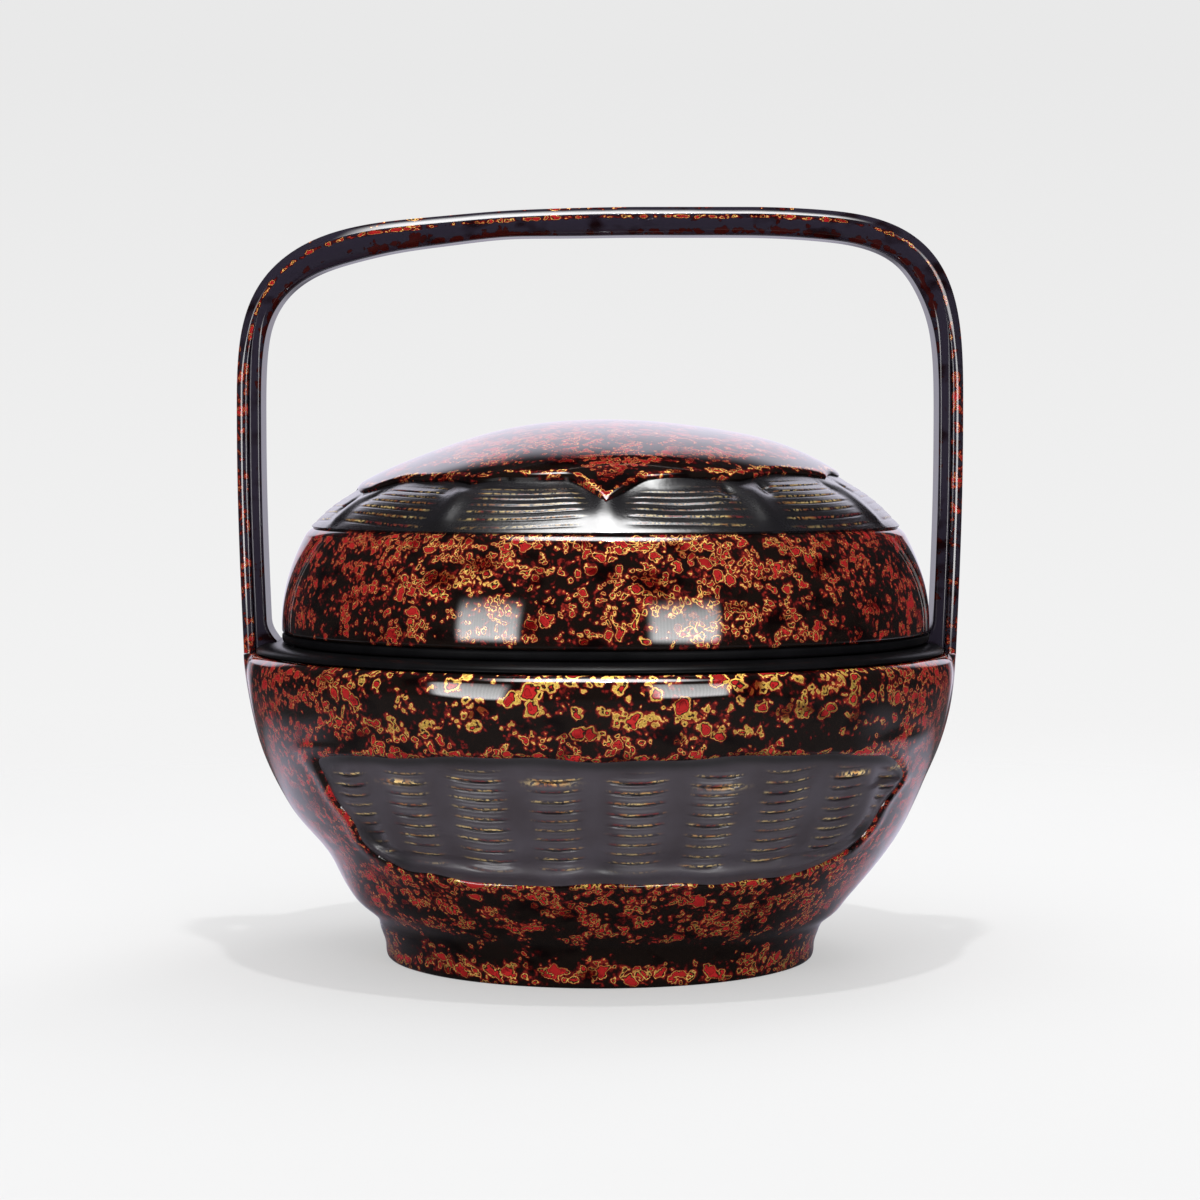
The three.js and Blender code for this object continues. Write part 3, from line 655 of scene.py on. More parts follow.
def marbled(name, big, small, seed, ground=MARBLE_GROUND, coat=1.0, sunken_to=None):
    """Polished marbled lacquer: lacy spots and drifts, each with a dark red haze, gold powder between two
    bright lines, a dark line and a crimson heart, over black and under a clear glossy coat. The mark ring
    steers how wide the gold is."""
    constants = {"Roughness": 0.58, "Specular IOR Level": 0.0, "Coat Weight": coat, "Coat Roughness": 0.05,
                 "Coat IOR": 1.5}
    made, tree, shader, here = new_finish(name, constants)
    ring = point_value(tree, "ring")
    moved = add(tree, "Mapping", {"Vector": here, "Location": (seed, 0, 0)}).outputs[0]
    level = add(tree, "Mapping", {"Vector": moved, "Scale": (1, 1, 1.8)}).outputs[0]
    height = marble_height(tree, moved, level, big, small)
    if sunken_to is not None:
        height = calc(tree, "MINIMUM", height, sunken_to)
    shown = layer_place(tree, height, ring)
    colour = layered(tree, shown, [
        (-1.30, ground), (-0.95, (0.012, 0.0025, 0.002)), (-0.70, (0.032, 0.0032, 0.003)),
        (-0.42, (0.085, 0.006, 0.005)), (-0.16, (0.18, 0.013, 0.010)), (-0.04, (0.36, 0.045, 0.016)),
        (0.02, (0.95, 0.60, 0.16)), (0.05, (1.0, 0.76, 0.28)), (0.10, (1.0, 0.74, 0.26)),
        (0.13, (0.70, 0.49, 0.10)), (0.17, (0.66, 0.45, 0.09)), (0.19, (0.92, 0.62, 0.18)),
        (0.23, (0.90, 0.58, 0.16)), (0.27, (0.040, 0.014, 0.005)), (0.64, (0.018, 0.006, 0.004)),
        (0.70, (0.13, 0.006, 0.006)), (0.78, (0.27, 0.010, 0.011)), (1.30, (0.37, 0.016, 0.015)),
        (1.60, (0.10, 0.004, 0.005)), (1.90, (0.27, 0.011, 0.011))])
    veil = noise(tree, level, 70, 2.0, dimensions="4D", W=3.0)
    veil = ramp(tree, veil, [(0.54, (1, 1, 1)), (0.66, (0.30, 0.10, 0.09))])
    colour = mixed(tree, 1.0, colour, veil, "MULTIPLY")
    metal = (0.92, 0.92, 0.92)
    powder = layered(tree, shown, [(-0.04, (0, 0, 0)), (0.01, metal), (0.24, metal), (0.27, (0, 0, 0))])
    redder = calc(tree, "MULTIPLY", powder, calc(tree, "MULTIPLY", ring, -0.8, clamp=True))
    colour = mixed(tree, redder, colour, (0.30, 0.020, 0.014, 1))
    powder = calc(tree, "SUBTRACT", powder, redder)
    tree.links.new(powder, shader.inputs["Metallic"])
    grain = ramp(tree, noise(tree, here, 1500, 1.0), [(0.36, (0.60, 0.50, 0.40)), (0.60, (1, 1, 1))])
    tree.links.new(mixed(tree, powder, colour, grain, "MULTIPLY"), shader.inputs["Base Color"])
    uneven(tree, shader, noise(tree, here, 42, 1.0), 0.3, 0.6 * MM, ("Normal", "Coat Normal"))
    return made


def woven_finish(name, rough, dark, light):
    """Satin black lacquer over the weave, with gold and red rubbed through in broken dots above the slits,
    and near-black painted shade where the slit mark is set."""
    constants = {"Roughness": rough, "Coat Weight": 0.25, "Coat Roughness": 0.28}
    made, tree, shader, here = new_finish(name, constants)
    ground = ramp(tree, noise(tree, here, 70, 3.0), [(0.3, dark), (0.7, light)])
    dots = noise(tree, here, 900, 1.0)
    rubbed = ramp(tree, noise(tree, here, 150, 1.0), [
        (0.38, (0.24, 0.016, 0.016)), (0.48, (0.60, 0.26, 0.06)), (0.58, (1.0, 0.72, 0.28))])
    broken = calc(tree, "MULTIPLY", calc(tree, "SUBTRACT", dots, 0.44), 9.0, clamp=True)
    shown = calc(tree, "MULTIPLY", point_value(tree, "gold"), broken, clamp=True)
    colour = mixed(tree, shown, ground, rubbed)
    # Painted shade: near black where the slit mark is set, in slits, pits and hollows
    colour = mixed(tree, point_value(tree, "slit"), colour, (0.002, 0.0018, 0.002, 1))
    tree.links.new(colour, shader.inputs["Base Color"])
    uneven(tree, shader, dots, 0.15, 0.2 * MM)
    return made


def plain_lacquer(name, dark, light, rough, shine=0.5):
    """Plain lacquer with faint clouding and a slightly uneven polish."""
    made, tree, shader, here = new_finish(name, {"Roughness": rough, "Specular IOR Level": shine})
    colour = ramp(tree, noise(tree, here, 90, 4.0), [(0.3, dark), (0.7, light)])
    tree.links.new(colour, shader.inputs["Base Color"])
    uneven(tree, shader, noise(tree, here, 160, 2.0), 0.2, 0.3 * MM)
    return made


def bamboo_finish():
    """Split bamboo: straw brown with fine dark fibres along the peg."""
    made, tree, shader, here = new_finish("split bamboo", {"Roughness": 0.55})
    long = add(tree, "Mapping", {"Vector": here, "Scale": (40, 900, 900)}).outputs[0]
    colour = ramp(tree, noise(tree, long, 1.0, 3.0), [(0.35, (0.12, 0.06, 0.02)), (0.65, (0.34, 0.2, 0.07))])
    tree.links.new(colour, shader.inputs["Base Color"])
    return made


BLACKS = (0.002, 0.002, 0.0023), (0.004, 0.0038, 0.0044)
belly_marble = marbled("marbled lacquer of the bowl", 6.4 * MM, 2.6 * MM, 0.0)
lid_marble = marbled("marbled lacquer of the lid", 4.4 * MM, 2.2 * MM, 0.31)
handle_marble = marbled("marbled lacquer of the handle", 4.4 * MM, 2.6 * MM, 0.67, HANDLE_GROUND)
dull_marble = marbled("dulled lacquer of the handle's inside", 4.6 * MM, 2.8 * MM, 0.67, HANDLE_GROUND,
                      coat=0.55, sunken_to=-0.62)
# Painted sheen: the belly weave is grey-violet instead of black, standing in for its satin reflection of the
# bright room
belly_weave = woven_finish("satin woven lacquer with painted sheen", 0.44, (0.033, 0.026, 0.032), (0.047, 0.040, 0.050))
lid_weave = woven_finish("polished woven lacquer", 0.2, (0.004, 0.0035, 0.004), (0.007, 0.0065, 0.008))
black = plain_lacquer("black lacquer", *BLACKS, 0.32, 0.05)
hoop_black = plain_lacquer("worn black lacquer", *BLACKS, 0.45, 0.04)
lining = plain_lacquer("brown-black lining", (0.009, 0.005, 0.004), (0.018, 0.010, 0.008), 0.28)
bamboo = bamboo_finish()


# The bowl


def coat_grid(theta):
    """Heights of the coat's grid, how far each row is set in from the belly and how much of the relief it
    takes. Rows go up the outside, over an edge that is smaller at the handle's legs, and down the
    inside."""
    outer_z = spaced((COAT_LOW, 0.8 * MM), (14 * MM, 1.1 * MM), (34 * MM, 0.45 * MM), (42 * MM, 1.5 * MM),
                     (73 * MM, 0.45 * MM), (81 * MM, 1.2 * MM), (96 * MM, 0.6 * MM), (WALL_TOP - 2.2 * MM, 1))
    inner_z = np.linspace(WALL_TOP - 0.4 * MM, 12 * MM, 7)
    turn = np.linspace(0, np.pi / 2, 12)[1:, None]
    edge = MM * (0.6 + 1.5 * smooth(LEG_HALF, 19 * MM, leg_distance(theta, WALL_TOP)))
    edge_z = WALL_TOP - edge * (1 - np.sin(turn) ** COAT_EDGE_POWER)
    edge_in = edge * (1 - np.cos(turn) ** COAT_EDGE_POWER)
    even = 0 * theta
    low_in = 0.15 * MM * smooth(11.2 * MM, COAT_LOW, outer_z)
    z = np.concatenate([COAT_LOW + even, outer_z[:, None] + even, edge_z, WALL_TOP + even,
                        inner_z[:, None] + even])
    set_in = np.concatenate([2.5 * MM + even, low_in[:, None] + even, edge_in, 3.6 * MM + even,
                             COAT + 0 * inner_z[:, None] + even])
    share = np.concatenate([[0], 0 * outer_z + 1, 0 * turn[:, 0] + 1, [0.5], 0 * inner_z])[:, None]
    return z, set_in, share


def coat_marks(theta, z):
    """Marbling of the coat: coarse with wide gold at the shoulder, red and fine at the sides, a gold border
    round the windows with a dark line outside it, and black at the neck."""
    away = window_distance(theta, z)
    front = np.abs(window_turn(theta))
    aside = smooth(0.6, 1.1, front)
    at_end = smooth(0.75, 0.95, front / WINDOW_HALF_ANGLE)
    border = bump_mm(away, 1.4, 1.0) * (1 - 0.9 * at_end)
    shoulder = smooth_mm(80, 90, z)
    low_down = smooth_mm(36, 30, z)
    rich = 0.26 * border + 0.08 * bump_mm(z, 30, 5) + 0.06 * aside
    rich = rich + 0.12 * shoulder * smooth(0.4, 0.8, np.sin(theta))
    rich = rich - 0.30 * bump_mm(away, 5.0, 1.9) * smooth_mm(66, 74, z)
    rich = rich - 0.5 * bump_mm(z, 13, 3.4)
    coarse = shoulder * (1 - 0.75 * aside) + 0.35 * low_down + 0.7 * bump_mm(away, 1.4, 1.5)
    ring = shoulder * (1 - aside) - 0.9 * aside - 0.2 * (1 - shoulder) + 0.3 * low_down + 0.8 * border
    return {"richness": rich, "coarse": np.clip(coarse, 0, 1), "ring": ring}


def bowl_coat():
    """The bowl's marbled coat, with finer columns at the ends of the windows."""
    half_turn = np.radians(spaced((-90, 1.2), (-62, 0.42), (-36, 1.0), (36, 0.42), (62, 1.2), (90, 1)))[:-1]
    theta = WINDOW_TURN + np.concatenate([half_turn, half_turn + np.pi])[None, :]
    z, set_in, share = coat_grid(theta)
    radius = belly_radius(z) - set_in + share * coat_relief(theta, z)
    piece("bowl_coat", on_ring(theta, radius, z), belly_marble, "basket", ["bowl_lacquer"],
          marks=coat_marks(theta, z))


def belly_panel(side, middle, nodes):
    """The woven panel behind one belly window, whose edges lie under the coat."""
    theta = (WINDOW_TURN + middle + np.radians(spaced((-64, 0.48), (64, 1))))[None, :]
    z = spaced((WINDOW_MIDDLE - WINDOW_HALF_HEIGHT - 3 * MM, 0.27 * MM),
               (WINDOW_MIDDLE + WINDOW_HALF_HEIGHT + 3 * MM, 1))
    height, gold, slit = panel_relief(theta, z[:, None])
    points = on_ring(theta, belly_radius(z)[:, None] + height, z[:, None])
    panel = piece("belly_weave_" + side, points, belly_weave, "basket", nodes,
                  ring=False, loop=False, marks={"gold": gold, "slit": slit}, sharp=80)
    shell = panel.modifiers.new("thickness", "SOLIDIFY")
    shell.thickness = 0.8 * MM
    shell.offset = -1


def foot():
    """The foot ring, rounded at the table, with its top edge under the coat."""
    low_z = [1.4, 0.7, 0.25, 0.0, 0.0, 0.0, 0.0, 0.25, 0.7, 1.4, 2.2]
    z = np.concatenate([low_z, np.linspace(3, 11.6, 16)]) * MM
    inner_in = [FOOT_WALL, FOOT_WALL, FOOT_WALL - 0.3 * MM, FOOT_WALL - 1 * MM, FOOT_WALL - 2 * MM]
    outer_in = np.array([2.4, 1.5, 0.75, 0.3, 0.08, 0.0]) * MM
    set_in = np.concatenate([inner_in, outer_in, np.zeros(16)]) + 0.15 * MM * smooth_mm(10.0, 11.6, z)
    radius = np.concatenate([belly_radius(z) - set_in, [NECK_RADIUS - FOOT_WALL - FOOT_SET_IN] * 2])
    z = np.concatenate([z, [11.6 * MM, 6 * MM]])
    rich = 0.10 + 0.22 * bump_mm(z, 4.6, 2.0) - 0.35 * smooth_mm(7, 10, z)
    rich = rich - 0.3 * smooth_mm(2.2, 0.6, z)
    turned("foot", np.stack([radius, z], -1), belly_marble, "basket", ["foot_ring"],
           marks={"richness": rich, "coarse": 0 * z + 0.5, "ring": 0 * z + 0.15})


def rim():
    """The black ring round the mouth: a quarter oval that rises inwards to a narrow flat."""
    turn = np.linspace(0, np.pi / 2, 12)
    flat = RIM_RADIUS - 10.2 * MM
    inner = flat - 4.3 * MM
    reach = RIM_RADIUS - 3.4 * MM - flat
    rise = RIM_TOP - RIM_LOW - 0.5 * MM
    oval = np.stack([flat + reach * np.cos(turn), RIM_LOW + 0.5 * MM + rise * np.sin(turn)], -1)
    top = softened([[inner, RIM_TOP], [inner, RIM_LOW + 1 * MM], [flat - 3.6 * MM, RIM_TOP]], 0.3 * MM, 5)
    under = [[inner, RIM_LOW], [RIM_RADIUS - 4.4 * MM, RIM_LOW]]
    # Only the first corner's five points, the ring's inner top edge
    outline = np.concatenate([under, oval, top[:5]])
    turned("rim", outline, black, "basket", ["rim_ring"])


def ring_outline(inner, outer, low, high, edge, lean=0.0):
    """Section of a flat hoop with soft edges, whose outer face leans in by a little at the bottom."""
    return softened([[inner, low], [outer - lean, low], [outer, high], [inner, high]], edge)


def mouth_hoop():
    """The hoop inside the mouth."""
    outer = belly_radius(HOOP_LOW) - 6.4 * MM
    turned("mouth_hoop", ring_outline(outer - 5 * MM, outer, HOOP_LOW, HOOP_TOP, 1.2 * MM), black, "basket",
           ["inner_hoop"])


def inside_lining():
    """The bowl's lining: a flat floor, a round turn and a wall that follows the belly."""
    z = np.linspace(FLOOR_Z + 4 * MM, WALL_TOP - 0.3 * MM, 40)
    wall = np.stack([belly_radius(z) - LINING_SET_IN, z], -1)
    edge = wall[0, 0] - 4 * MM
    under = [[0, FLOOR_Z], [edge, FLOOR_Z], [edge + 2.6 * MM, FLOOR_Z + 1 * MM]]
    over = [[edge + 1.4 * MM, FLOOR_Z + 2 * MM], [edge - 1.5 * MM, FLOOR_Z + 1 * MM], [0, FLOOR_Z + 1 * MM]]
    outline = np.concatenate([under, wall, wall[::-1] - [1 * MM, 0], over])
    turned("inside_lining", outline, lining, "basket", ["bowl_lining"])


def bottom_board():
    """The board in the foot ring, with a small bevel underneath."""
    bevel = 0.5 * MM
    outline = [[0, BOARD_LOW], [BOARD_RADIUS - bevel, BOARD_LOW], [BOARD_RADIUS, BOARD_LOW + bevel],
               [BOARD_RADIUS, BOARD_TOP], [0, BOARD_TOP]]
    turned("bottom_board", outline, hoop_black, "basket", ["base_board"])


bowl_coat()
belly_panel("front", 0, ["woven_bowl"])
belly_panel("back", np.pi, [])
foot()
rim()
mouth_hoop()
inside_lining()
bottom_board()


# The handle


def handle_course():
    """The handle's outline with its hand-made bar, which sags on the left and swells right of the middle,
    and the share of leg at each point: 1 up the legs and 0 along the bar."""
    path = handle_outline(460)
    sag = bump(path[:, 0], -58 * MM, 27 * MM) * smooth_mm(235, 250, path[:, 1])
    swell = smooth_mm(-25, 15, path[:, 0]) * (1 - smooth_mm(50, 80, path[:, 0]))
    path[:, 1] += MM * (0.5 * swell - 1.4 * sag)
    return path, 1 - smooth_mm(195, 228, path[:, 1])


def handle_thickness(x, z):
    """Thickness of both strips together: more in the right bend, at the feet of the legs and along the bar,
    where it changes from left to right."""
    bend = bump(z, HANDLE_TOP - 24 * MM, 20 * MM) * smooth_mm(40, 85, x)
    flare = np.clip(1 - (z - RIM_TOP) / (7 * MM), 0, 1) ** 2
    uneven_bar = 1.1 + 1.5 * bump_mm(x, -88, 20) - 0.7 * bump_mm(x, -33, 18)
    bar = smooth_mm(213, 241, z) * MM * uneven_bar
    return 2 * STRIP + STRIP_GAP + 1.2 * MM * bend + 3.0 * MM * flare + bar


def handle():
    """The marbled outer strip and the dark inner strip, with a groove between them along the legs."""
    path, leg = handle_course()
    bar = 1 - leg
    groove = STRIP_GAP * leg
    mating_edge = 0.85 * MM * leg + 0.02 * MM
    crown = 0.05 * MM + 0.65 * MM * bar
    slant = 0.5 * MM * leg
    middle = STRIP + STRIP_GAP / 2
    leg_rows = np.concatenate([[1], leg, [1]])[:, None]

    points, deep = strip(path, 0.0, middle - groove / 2, 2.7 * MM - 0.2 * MM * bar, mating_edge, crown, slant,
                         1 + 0.85 * bar)
    on_front = smooth(0.72, 0.92, np.abs(points[..., 1]) / (HANDLE_DEPTH / 2))
    top_rich = 0.32 * leg_rows - 0.22
    front_rich = (1.12 * bump_mm(deep, 3.4, 0.9) - 0.80) * (1 - leg_rows) - 0.12 * leg_rows
    rich = top_rich + on_front * (front_rich - top_rich)
    piece("handle_outer", points, handle_marble, "basket", ["handle_outer_strip"],
          loop=False, marks={"richness": rich, "coarse": 0.6, "ring": -0.1 - 0.8 * leg_rows})

    thickness = handle_thickness(path[:, 0], path[:, 1])
    lower_edge = 1.1 * MM + 1.4 * MM * bar
    points, deep = strip(path, middle + groove / 2, thickness, mating_edge, lower_edge, crown, slant)
    rich = 0.74 * bump_mm(deep, 8.2, 1.3) * (1 - 0.5 * leg_rows) - 0.70
    piece("handle_inner", points, dull_marble, "basket", ["handle_inner_strip"],
          loop=False, marks={"richness": rich, "coarse": 0.7, "ring": -1.0})


handle()


# The lid


def lid_side():
    """The lid's marbled side, from the hoop up to a rolled lip at the ridge, with two richer patches in
    front."""
    columns = 360
    z = np.linspace(LID_HOOP_TOP + 1.0 * MM, RIDGE_Z - 2.6 * MM, 60)
    face = np.stack([lid_side_radius(z), z], -1)
    turn = np.linspace(0, np.pi / 2, 12)[1:]
    lip_r = face[-1, 0] - LIP_WIDTH * (1 - np.cos(turn) ** LIP_POWER)
    lip = np.stack([lip_r, z[-1] + LIP_HEIGHT * np.sin(turn) ** LIP_POWER], -1)
    bottom = MM * np.array([[-3.6, 0.2], [-1.2, 0.2], [-0.45, 0.45]]) + [LID_RADIUS, LID_HOOP_TOP]
    back = face[::-8] - [4 * MM, 1.5 * MM]
    outline = np.concatenate([bottom, face, lip, lip[-1:] - [2.2 * MM, 0.4 * MM], back])
    theta = np.roll(np.linspace(-np.pi, np.pi, columns, endpoint=False), columns // 2)
    line_z = outline[:, 1:]
    aside = smooth(0.2, 0.75, np.sin(theta) ** 2)
    patch = bump(theta, -0.40, 0.15) * bump_mm(line_z, 131, 7)
    patch = patch + bump(theta, 0.17, 0.16) * bump_mm(line_z, 121, 11)
    rich = 0.28 * bump(line_z, RIDGE_Z - 3.4 * MM, 1.7 * MM) - 0.45 * bump(line_z, LID_HOOP_TOP, 1.7 * MM)
    rich = rich - 0.04 + 0.24 * patch
    ring = 0.6 * patch - 0.1 - 0.9 * aside
    turned("lid_side", outline, lid_marble, "lid", ["lid_side_lacquer"], LID_X, columns,
           {"richness": rich, "coarse": 0 * line_z + 0.55, "ring": ring})


def lid_weave_band():
    """The woven band between ridge and crown: the dome lifted square to its slope by the relief, and a
    plain back."""
    theta = np.linspace(0, 2 * np.pi, 720, endpoint=False)[None, :]
    share = np.linspace(0, 1, 92)[:, None]
    radius = RIDGE_RADIUS - 0.6 * MM + (CROWN_EDGE - 6 * MM - RIDGE_RADIUS) * share
    lift, gold, slit = band_relief(theta, radius)
    slope = radius / DOME_SPAN / np.sqrt(1 - (radius / DOME_SPAN) ** 2) * DOME_DEPTH / DOME_SPAN
    tilt = np.arctan(slope)
    z = dome_height(radius) + dome_uneven(theta, radius) + lift * np.cos(tilt)
    outside = on_ring(theta, radius + lift * np.sin(tilt), z, LID_X)
    back_r = radius[::-18]
    inside = on_ring(theta, back_r - 2.4 * MM, dome_height(back_r) - 3.4 * MM, LID_X)
    plain = np.zeros(inside.shape[:2])
    marks = {"gold": np.concatenate([gold, plain]), "slit": np.concatenate([slit, plain])}
    points = np.concatenate([outside, inside])
    piece("lid_weave_band", points, lid_weave, "lid", ["lid_weave"], marks=marks, sharp=80)


def lid_crown():
    """The crown's marbled coat: rounded up from its cusped edge, which a dark line follows, and closed
    underneath."""
    theta = np.linspace(0, 2 * np.pi, 480, endpoint=False)[None, :]
    inset = spaced((0.0, 0.3 * MM), (3 * MM, 0.8 * MM), (12 * MM, 1.4 * MM), (40 * MM, 2.4 * MM),
                   (CROWN_EDGE, 1))[:, None]
    edge = crown_edge(theta)
    radius = edge * (1 - inset / CROWN_EDGE)
    proud = 1.1 * MM * np.sqrt(1 - np.clip(1 - inset / (2.0 * MM), 0, 1) ** 2) - 0.6 * MM
    z = dome_height(radius) + dome_uneven(theta, radius)
    top = on_ring(theta, radius, z + proud - 0.3 * MM, LID_X)
    under_r = edge * np.array([[0.0], [0.5], [0.985]])
    under_z = dome_height(under_r) + dome_uneven(theta, under_r) - 3.0 * MM
    under = on_ring(theta, under_r, under_z, LID_X)
    rich = 0.24 * bump_mm(inset, 1.9, 0.7) - 0.70 * bump_mm(inset, 4.9, 2.0)
    rich = rich - 0.3 * bump(inset, 0, 0.8 * MM)
    front = bump(np.sin(theta), 0.12, 0.4) * (np.cos(theta) > 0) * bump_mm(inset, 12, 7)
    rich = rich + 0.05 * smooth_mm(15, 40, inset) + 0.16 * front
    coarse = 0.1 + 0.4 * bump_mm(inset, 2.4, 2)
    ring = 0.9 * bump_mm(inset, 1.9, 1.6) - 0.7
    marks = {"richness": rich, "coarse": coarse, "ring": ring}
    marks = {name: np.concatenate([0 * values[:len(under)], values]) for name, values in marks.items()}
    points = np.concatenate([under, top])
    piece("lid_crown", points, lid_marble, "lid", ["lid_crown_lacquer"], loop=False,
          marks=marks)


def lid_hoop():
    """The worn black hoop along the lid's lower edge."""
    top = LID_HOOP_TOP + 0.1 * MM
    outline = ring_outline(LID_HOOP_RADIUS - 6 * MM, LID_HOOP_RADIUS, LID_LOW, top, 1.1 * MM, 0.3 * MM)
    turned("lid_hoop", outline, hoop_black, "lid", ["lid_rim_hoop"], LID_X)


def lid_collar_ring():
    """The collar that drops into the mouth."""
    outline = ring_outline(COLLAR_RADIUS - 3 * MM, COLLAR_RADIUS, COLLAR_LOW, COLLAR_TOP, 1.0 * MM)
    turned("lid_collar_ring", outline, hoop_black, "lid", ["lid_collar"], LID_X)


def lid_inside_lining():
    """The lid's lining: a wall that follows the side and a cap that follows the dome."""
    cap_r = np.linspace(RIDGE_RADIUS - 5.5 * MM, 0, 40)
    cap = np.stack([cap_r, dome_height(cap_r) - 5.0 * MM], -1)
    wall_z = np.linspace(LID_HOOP_TOP + 0.3 * MM, RIDGE_Z - 6 * MM, 20)
    wall = np.stack([lid_side_radius(wall_z) - LINING_SET_IN, wall_z], -1)
    outline = np.concatenate([wall, cap, cap[::-1] - [0.4 * MM, 1 * MM], wall[::-1] - [1 * MM, 0]])
    turned("lid_inside_lining", outline, lining, "lid", ["lid_lining"], LID_X)


lid_side()
lid_weave_band()
lid_crown()
lid_hoop()
lid_collar_ring()
lid_inside_lining()

# The pegs keep their CAD shape and take the look of bamboo
for name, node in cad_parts.items():
    if name.startswith("peg_"):
        node.data.materials.clear()
        node.data.materials.append(bamboo)


# Floor, light and camera

scene = bpy.context.scene
scene.view_settings.view_transform = "Standard"


def floor_finish():
    """White paper that fades out into the backdrop. Seen by glossy rays it is dark, with a pale patch
    behind the basket."""
    made = bpy.data.materials.new("white floor")
    made.use_nodes = True
    tree = made.node_tree
    tree.nodes.clear()
    here = add(tree, "TexCoord").outputs["Object"]
    far = add(tree, "VectorMath", {0: here}, operation="LENGTH").outputs["Value"]
    rays = add(tree, "LightPath")
    deep = add(tree, "SeparateXYZ", {0: here}).outputs["Y"]
    depth = ranged(tree, deep, -0.4, 0.1, soft=False)
    shown = ramp(tree, depth, [(0, (0.55, 0.55, 0.547)), (1, (0.66, 0.66, 0.657))])
    behind = ranged(tree, deep, -0.06, 0.06, soft=False)
    close = ranged(tree, far, 0.46, 0.28, soft=False)
    patch = calc(tree, "MULTIPLY", behind, close)
    mirrored = ramp(tree, patch, [(0, (0.075, 0.075, 0.08)), (1, (0.52, 0.50, 0.60))])
    tone = mixed(tree, rays.outputs["Is Glossy Ray"], shown, mirrored)
    paper = add(tree, "BsdfDiffuse", {"Color": tone})
    white = add(tree, "Emission", {"Color": (0.85, 0.85, 0.847, 1)})
    fill = calc(tree, "MULTIPLY", rays.outputs["Is Camera Ray"], 0.50)
    paper = add(tree, "MixShader", {0: fill, 1: paper.outputs[0], 2: white.outputs[0]})
    clear = add(tree, "BsdfTransparent")
    faded = ranged(tree, far, 0.25, 1.1)
    both = add(tree, "MixShader", {0: faded, 1: paper.outputs[0], 2: clear.outputs[0]})
    output = add(tree, "OutputMaterial")
    tree.links.new(both.outputs[0], output.inputs["Surface"])
    return made


def white_floor():
    """A round sheet under the basket."""
    theta = np.linspace(0, 2 * np.pi, FLOOR_CORNERS, endpoint=False)
    mesh = bpy.data.meshes.new("floor")
    mesh.from_pydata(on_ring(theta, FLOOR_RADIUS, 0.0).tolist(), [], [list(range(FLOOR_CORNERS))])
    mesh.materials.append(floor_finish())
    floor = bpy.data.objects.new("floor", mesh)
    scene.collection.objects.link(floor)


def mirror_sheet(sky, x, y, z):
    """What glossy rays see: a bright arched sheet behind the basket, brighter upwards, in a dark room."""
    level = calc(sky, "SQRT", calc(sky, "SUBTRACT", 1.0, calc(sky, "MULTIPLY", z, z)))
    facing = calc(sky, "ADD", calc(sky, "DIVIDE", y, level), calc(sky, "MULTIPLY", z, 0.2))
    sideways = calc(sky, "ABSOLUTE", calc(sky, "SUBTRACT", x, 0.05))
    arch = calc(sky, "ADD", z, calc(sky, "MULTIPLY", sideways, 0.65))
    lit = calc(sky, "MULTIPLY", ranged(sky, facing, 0.88, 0.985), ranged(sky, arch, 0.80, 0.64))
    lit = calc(sky, "MULTIPLY", lit, ranged(sky, z, -0.13, -0.08))
    rise = ranged(sky, z, 0.03, 0.40, soft=False)
    sheet = ramp(sky, rise, [(0, (0.95, 0.92, 1.08)), (1, (1.65, 1.6, 1.85))])
    return mixed(sky, lit, (0.035, 0.035, 0.04, 1), sheet)


def studio_world():
    """A pale backdrop for the camera, a sky that is brighter overhead for soft light, and a sheet for
    reflections."""
    world = bpy.data.worlds.new("studio")
    scene.world = world
    world.use_nodes = True
    sky = world.node_tree
    sky.nodes.clear()
    rays = add(sky, "LightPath")
    look = add(sky, "TexCoord").outputs["Generated"]
    x, y, z = add(sky, "SeparateXYZ", {0: look}).outputs
    fall = ranged(sky, z, -0.2, 0.12, soft=False)
    plain = ramp(sky, fall, [(0, (0.94, 0.94, 0.94)), (1, (0.815, 0.815, 0.815))])
    overhead = ramp(sky, ranged(sky, z, 0.1, 0.95), [(0, (0.28, 0.28, 0.29)), (1, (1.35, 1.35, 1.38))])
    soft = add(sky, "Background", {"Color": overhead}).outputs[0]
    glossy = add(sky, "Background", {"Color": mirror_sheet(sky, x, y, z)}).outputs[0]
    seen = add(sky, "Background", {"Color": plain}).outputs[0]
    bounced = add(sky, "MixShader", {0: rays.outputs["Is Glossy Ray"], 1: soft, 2: glossy}).outputs[0]
    whole = add(sky, "MixShader", {0: rays.outputs["Is Camera Ray"], 1: bounced, 2: seen})
    output = add(sky, "OutputWorld")
    sky.links.new(whole.outputs[0], output.inputs["Surface"])


def lamp(name, place, width, height, power):
    """A rectangular lamp that faces the middle of the basket."""
    light = bpy.data.lights.new(name, "AREA")
    light.shape = "RECTANGLE"
    light.size = width
    light.size_y = height
    light.energy = power
    made = bpy.data.objects.new(name, light)
    made.location = place
    aim = np.array(TARGET) - np.array(place)
    flat = math.hypot(aim[0], aim[1])
    made.rotation_euler = (math.atan2(flat, -aim[2]), 0, math.atan2(-aim[0], aim[1]))
    scene.collection.objects.link(made)
    return made


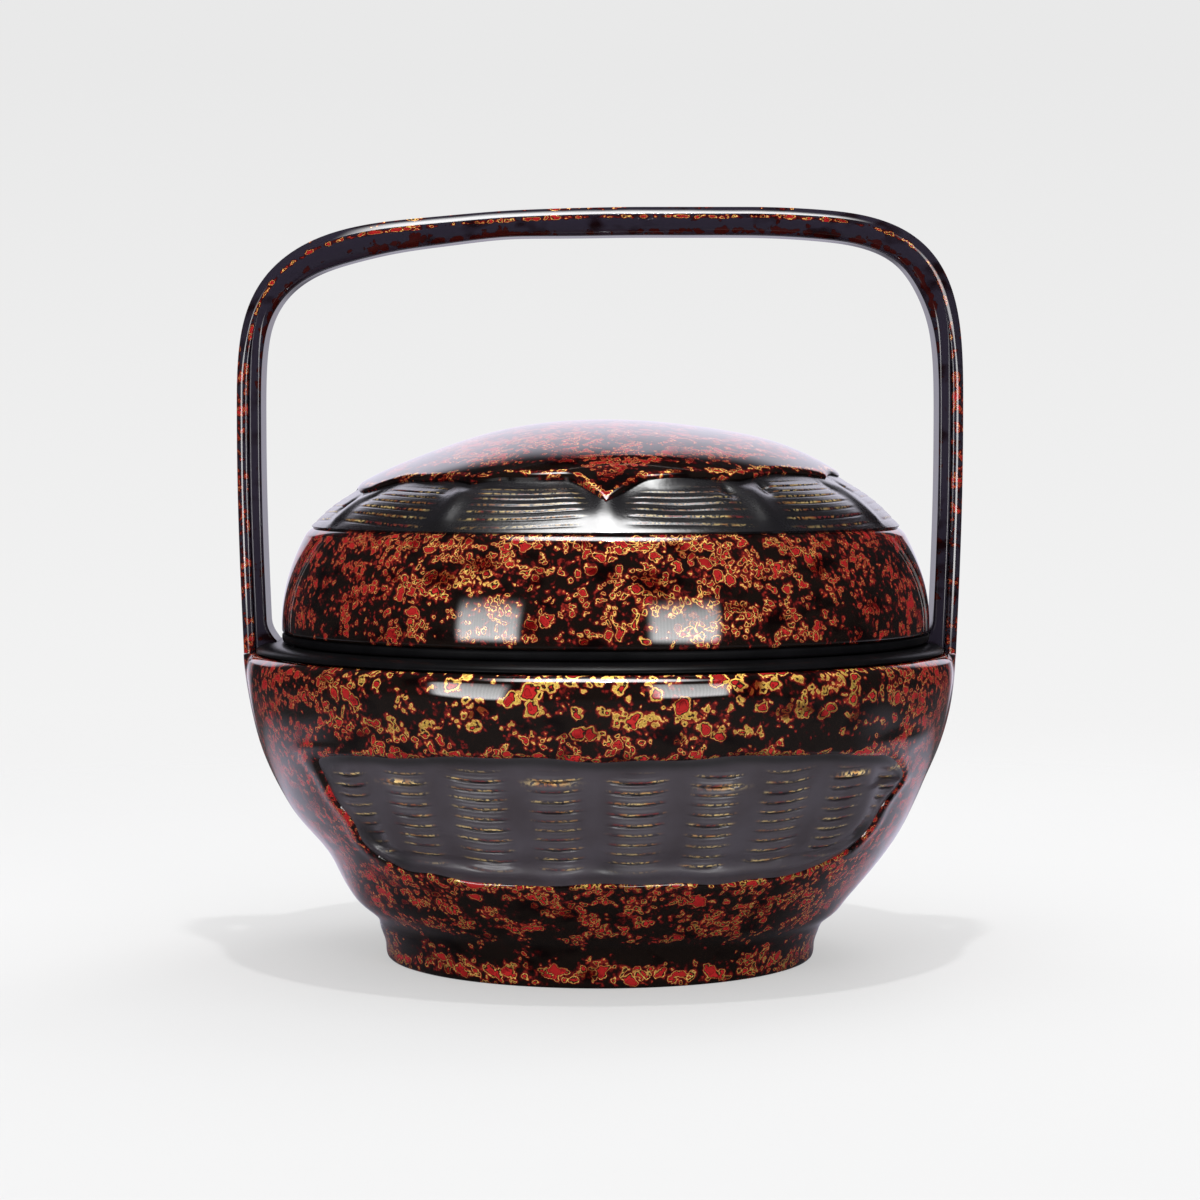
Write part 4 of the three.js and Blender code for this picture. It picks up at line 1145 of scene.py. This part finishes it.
def cloth_front(light, edge, top, stripes, fall):
    """Gives a lamp the front of a softbox: cloth with faint upright stripes, fading towards its edges and
    upwards."""
    light.use_nodes = True
    tree = light.node_tree
    tree.nodes.clear()
    face = add(tree, "NewGeometry").outputs["Parametric"]
    across, up, _ = add(tree, "SeparateXYZ", {0: face}).outputs
    bands = add(tree, "TexWave", {"Vector": face, "Scale": 7.5, "Distortion": 0.6}, bands_direction="X")
    level = calc(tree, "MULTIPLY_ADD", bands.outputs["Fac"], stripes, 0.75)
    for value, start, end in ((across, 0, edge), (across, 1, 1 - edge), (up, 0, edge), (up, 1, 1 - top)):
        level = calc(tree, "MULTIPLY", level, ranged(tree, value, start, end))
    upward = calc(tree, "MULTIPLY_ADD", up, -fall, 1.0 + 0.4 * fall)
    glow = add(tree, "Emission", {"Strength": calc(tree, "MULTIPLY", level, upward)})
    output = add(tree, "OutputLight")
    tree.links.new(glow.outputs[0], output.inputs["Surface"])


def lamps():
    """A small lamp and a softbox overhead, two softboxes in front and a lamp behind that no reflection
    shows."""
    lamp("overhead lamp", (0.03, -0.34, 1.35), 0.05, 0.04, 6)
    sheen = lamp("overhead softbox", (-0.03, -0.14, 1.35), 1.0, 0.64, 45)
    sheen.visible_diffuse = False
    cloth_front(sheen.data, 0.3, 0.3, 0.1, 0.0)
    for name, middle, span, power in (("left softbox", -39.5, 25.5, 15.5), ("right softbox", 26, 27, 16)):
        angle = math.radians(middle)
        place = (BOX_DISTANCE * math.sin(angle), -BOX_DISTANCE * math.cos(angle),
                 TARGET[2] + BOX_DISTANCE * math.tan(BOX_CLIMB))
        box = lamp(name, place, BOX_DISTANCE * math.radians(span), BOX_HEIGHT, power)
        cloth_front(box.data, 0.15, 0.42, 0.35, 1.0)
    back = lamp("back lamp", (0.5, 0.9, 1.3), 0.7, 0.7, 7)
    back.visible_glossy = False


def photo_camera():
    """The camera, a little above the basket and tilted down."""
    data = bpy.data.cameras.new("camera")
    data.sensor_width = 36
    data.lens = CAMERA_LENS
    camera = bpy.data.objects.new("camera", data)
    camera.location = CAMERA_PLACE
    camera.rotation_euler = (math.pi / 2 - CAMERA_TILT, 0, 0)
    scene.collection.objects.link(camera)
    scene.camera = camera


white_floor()
studio_world()
lamps()
photo_camera()
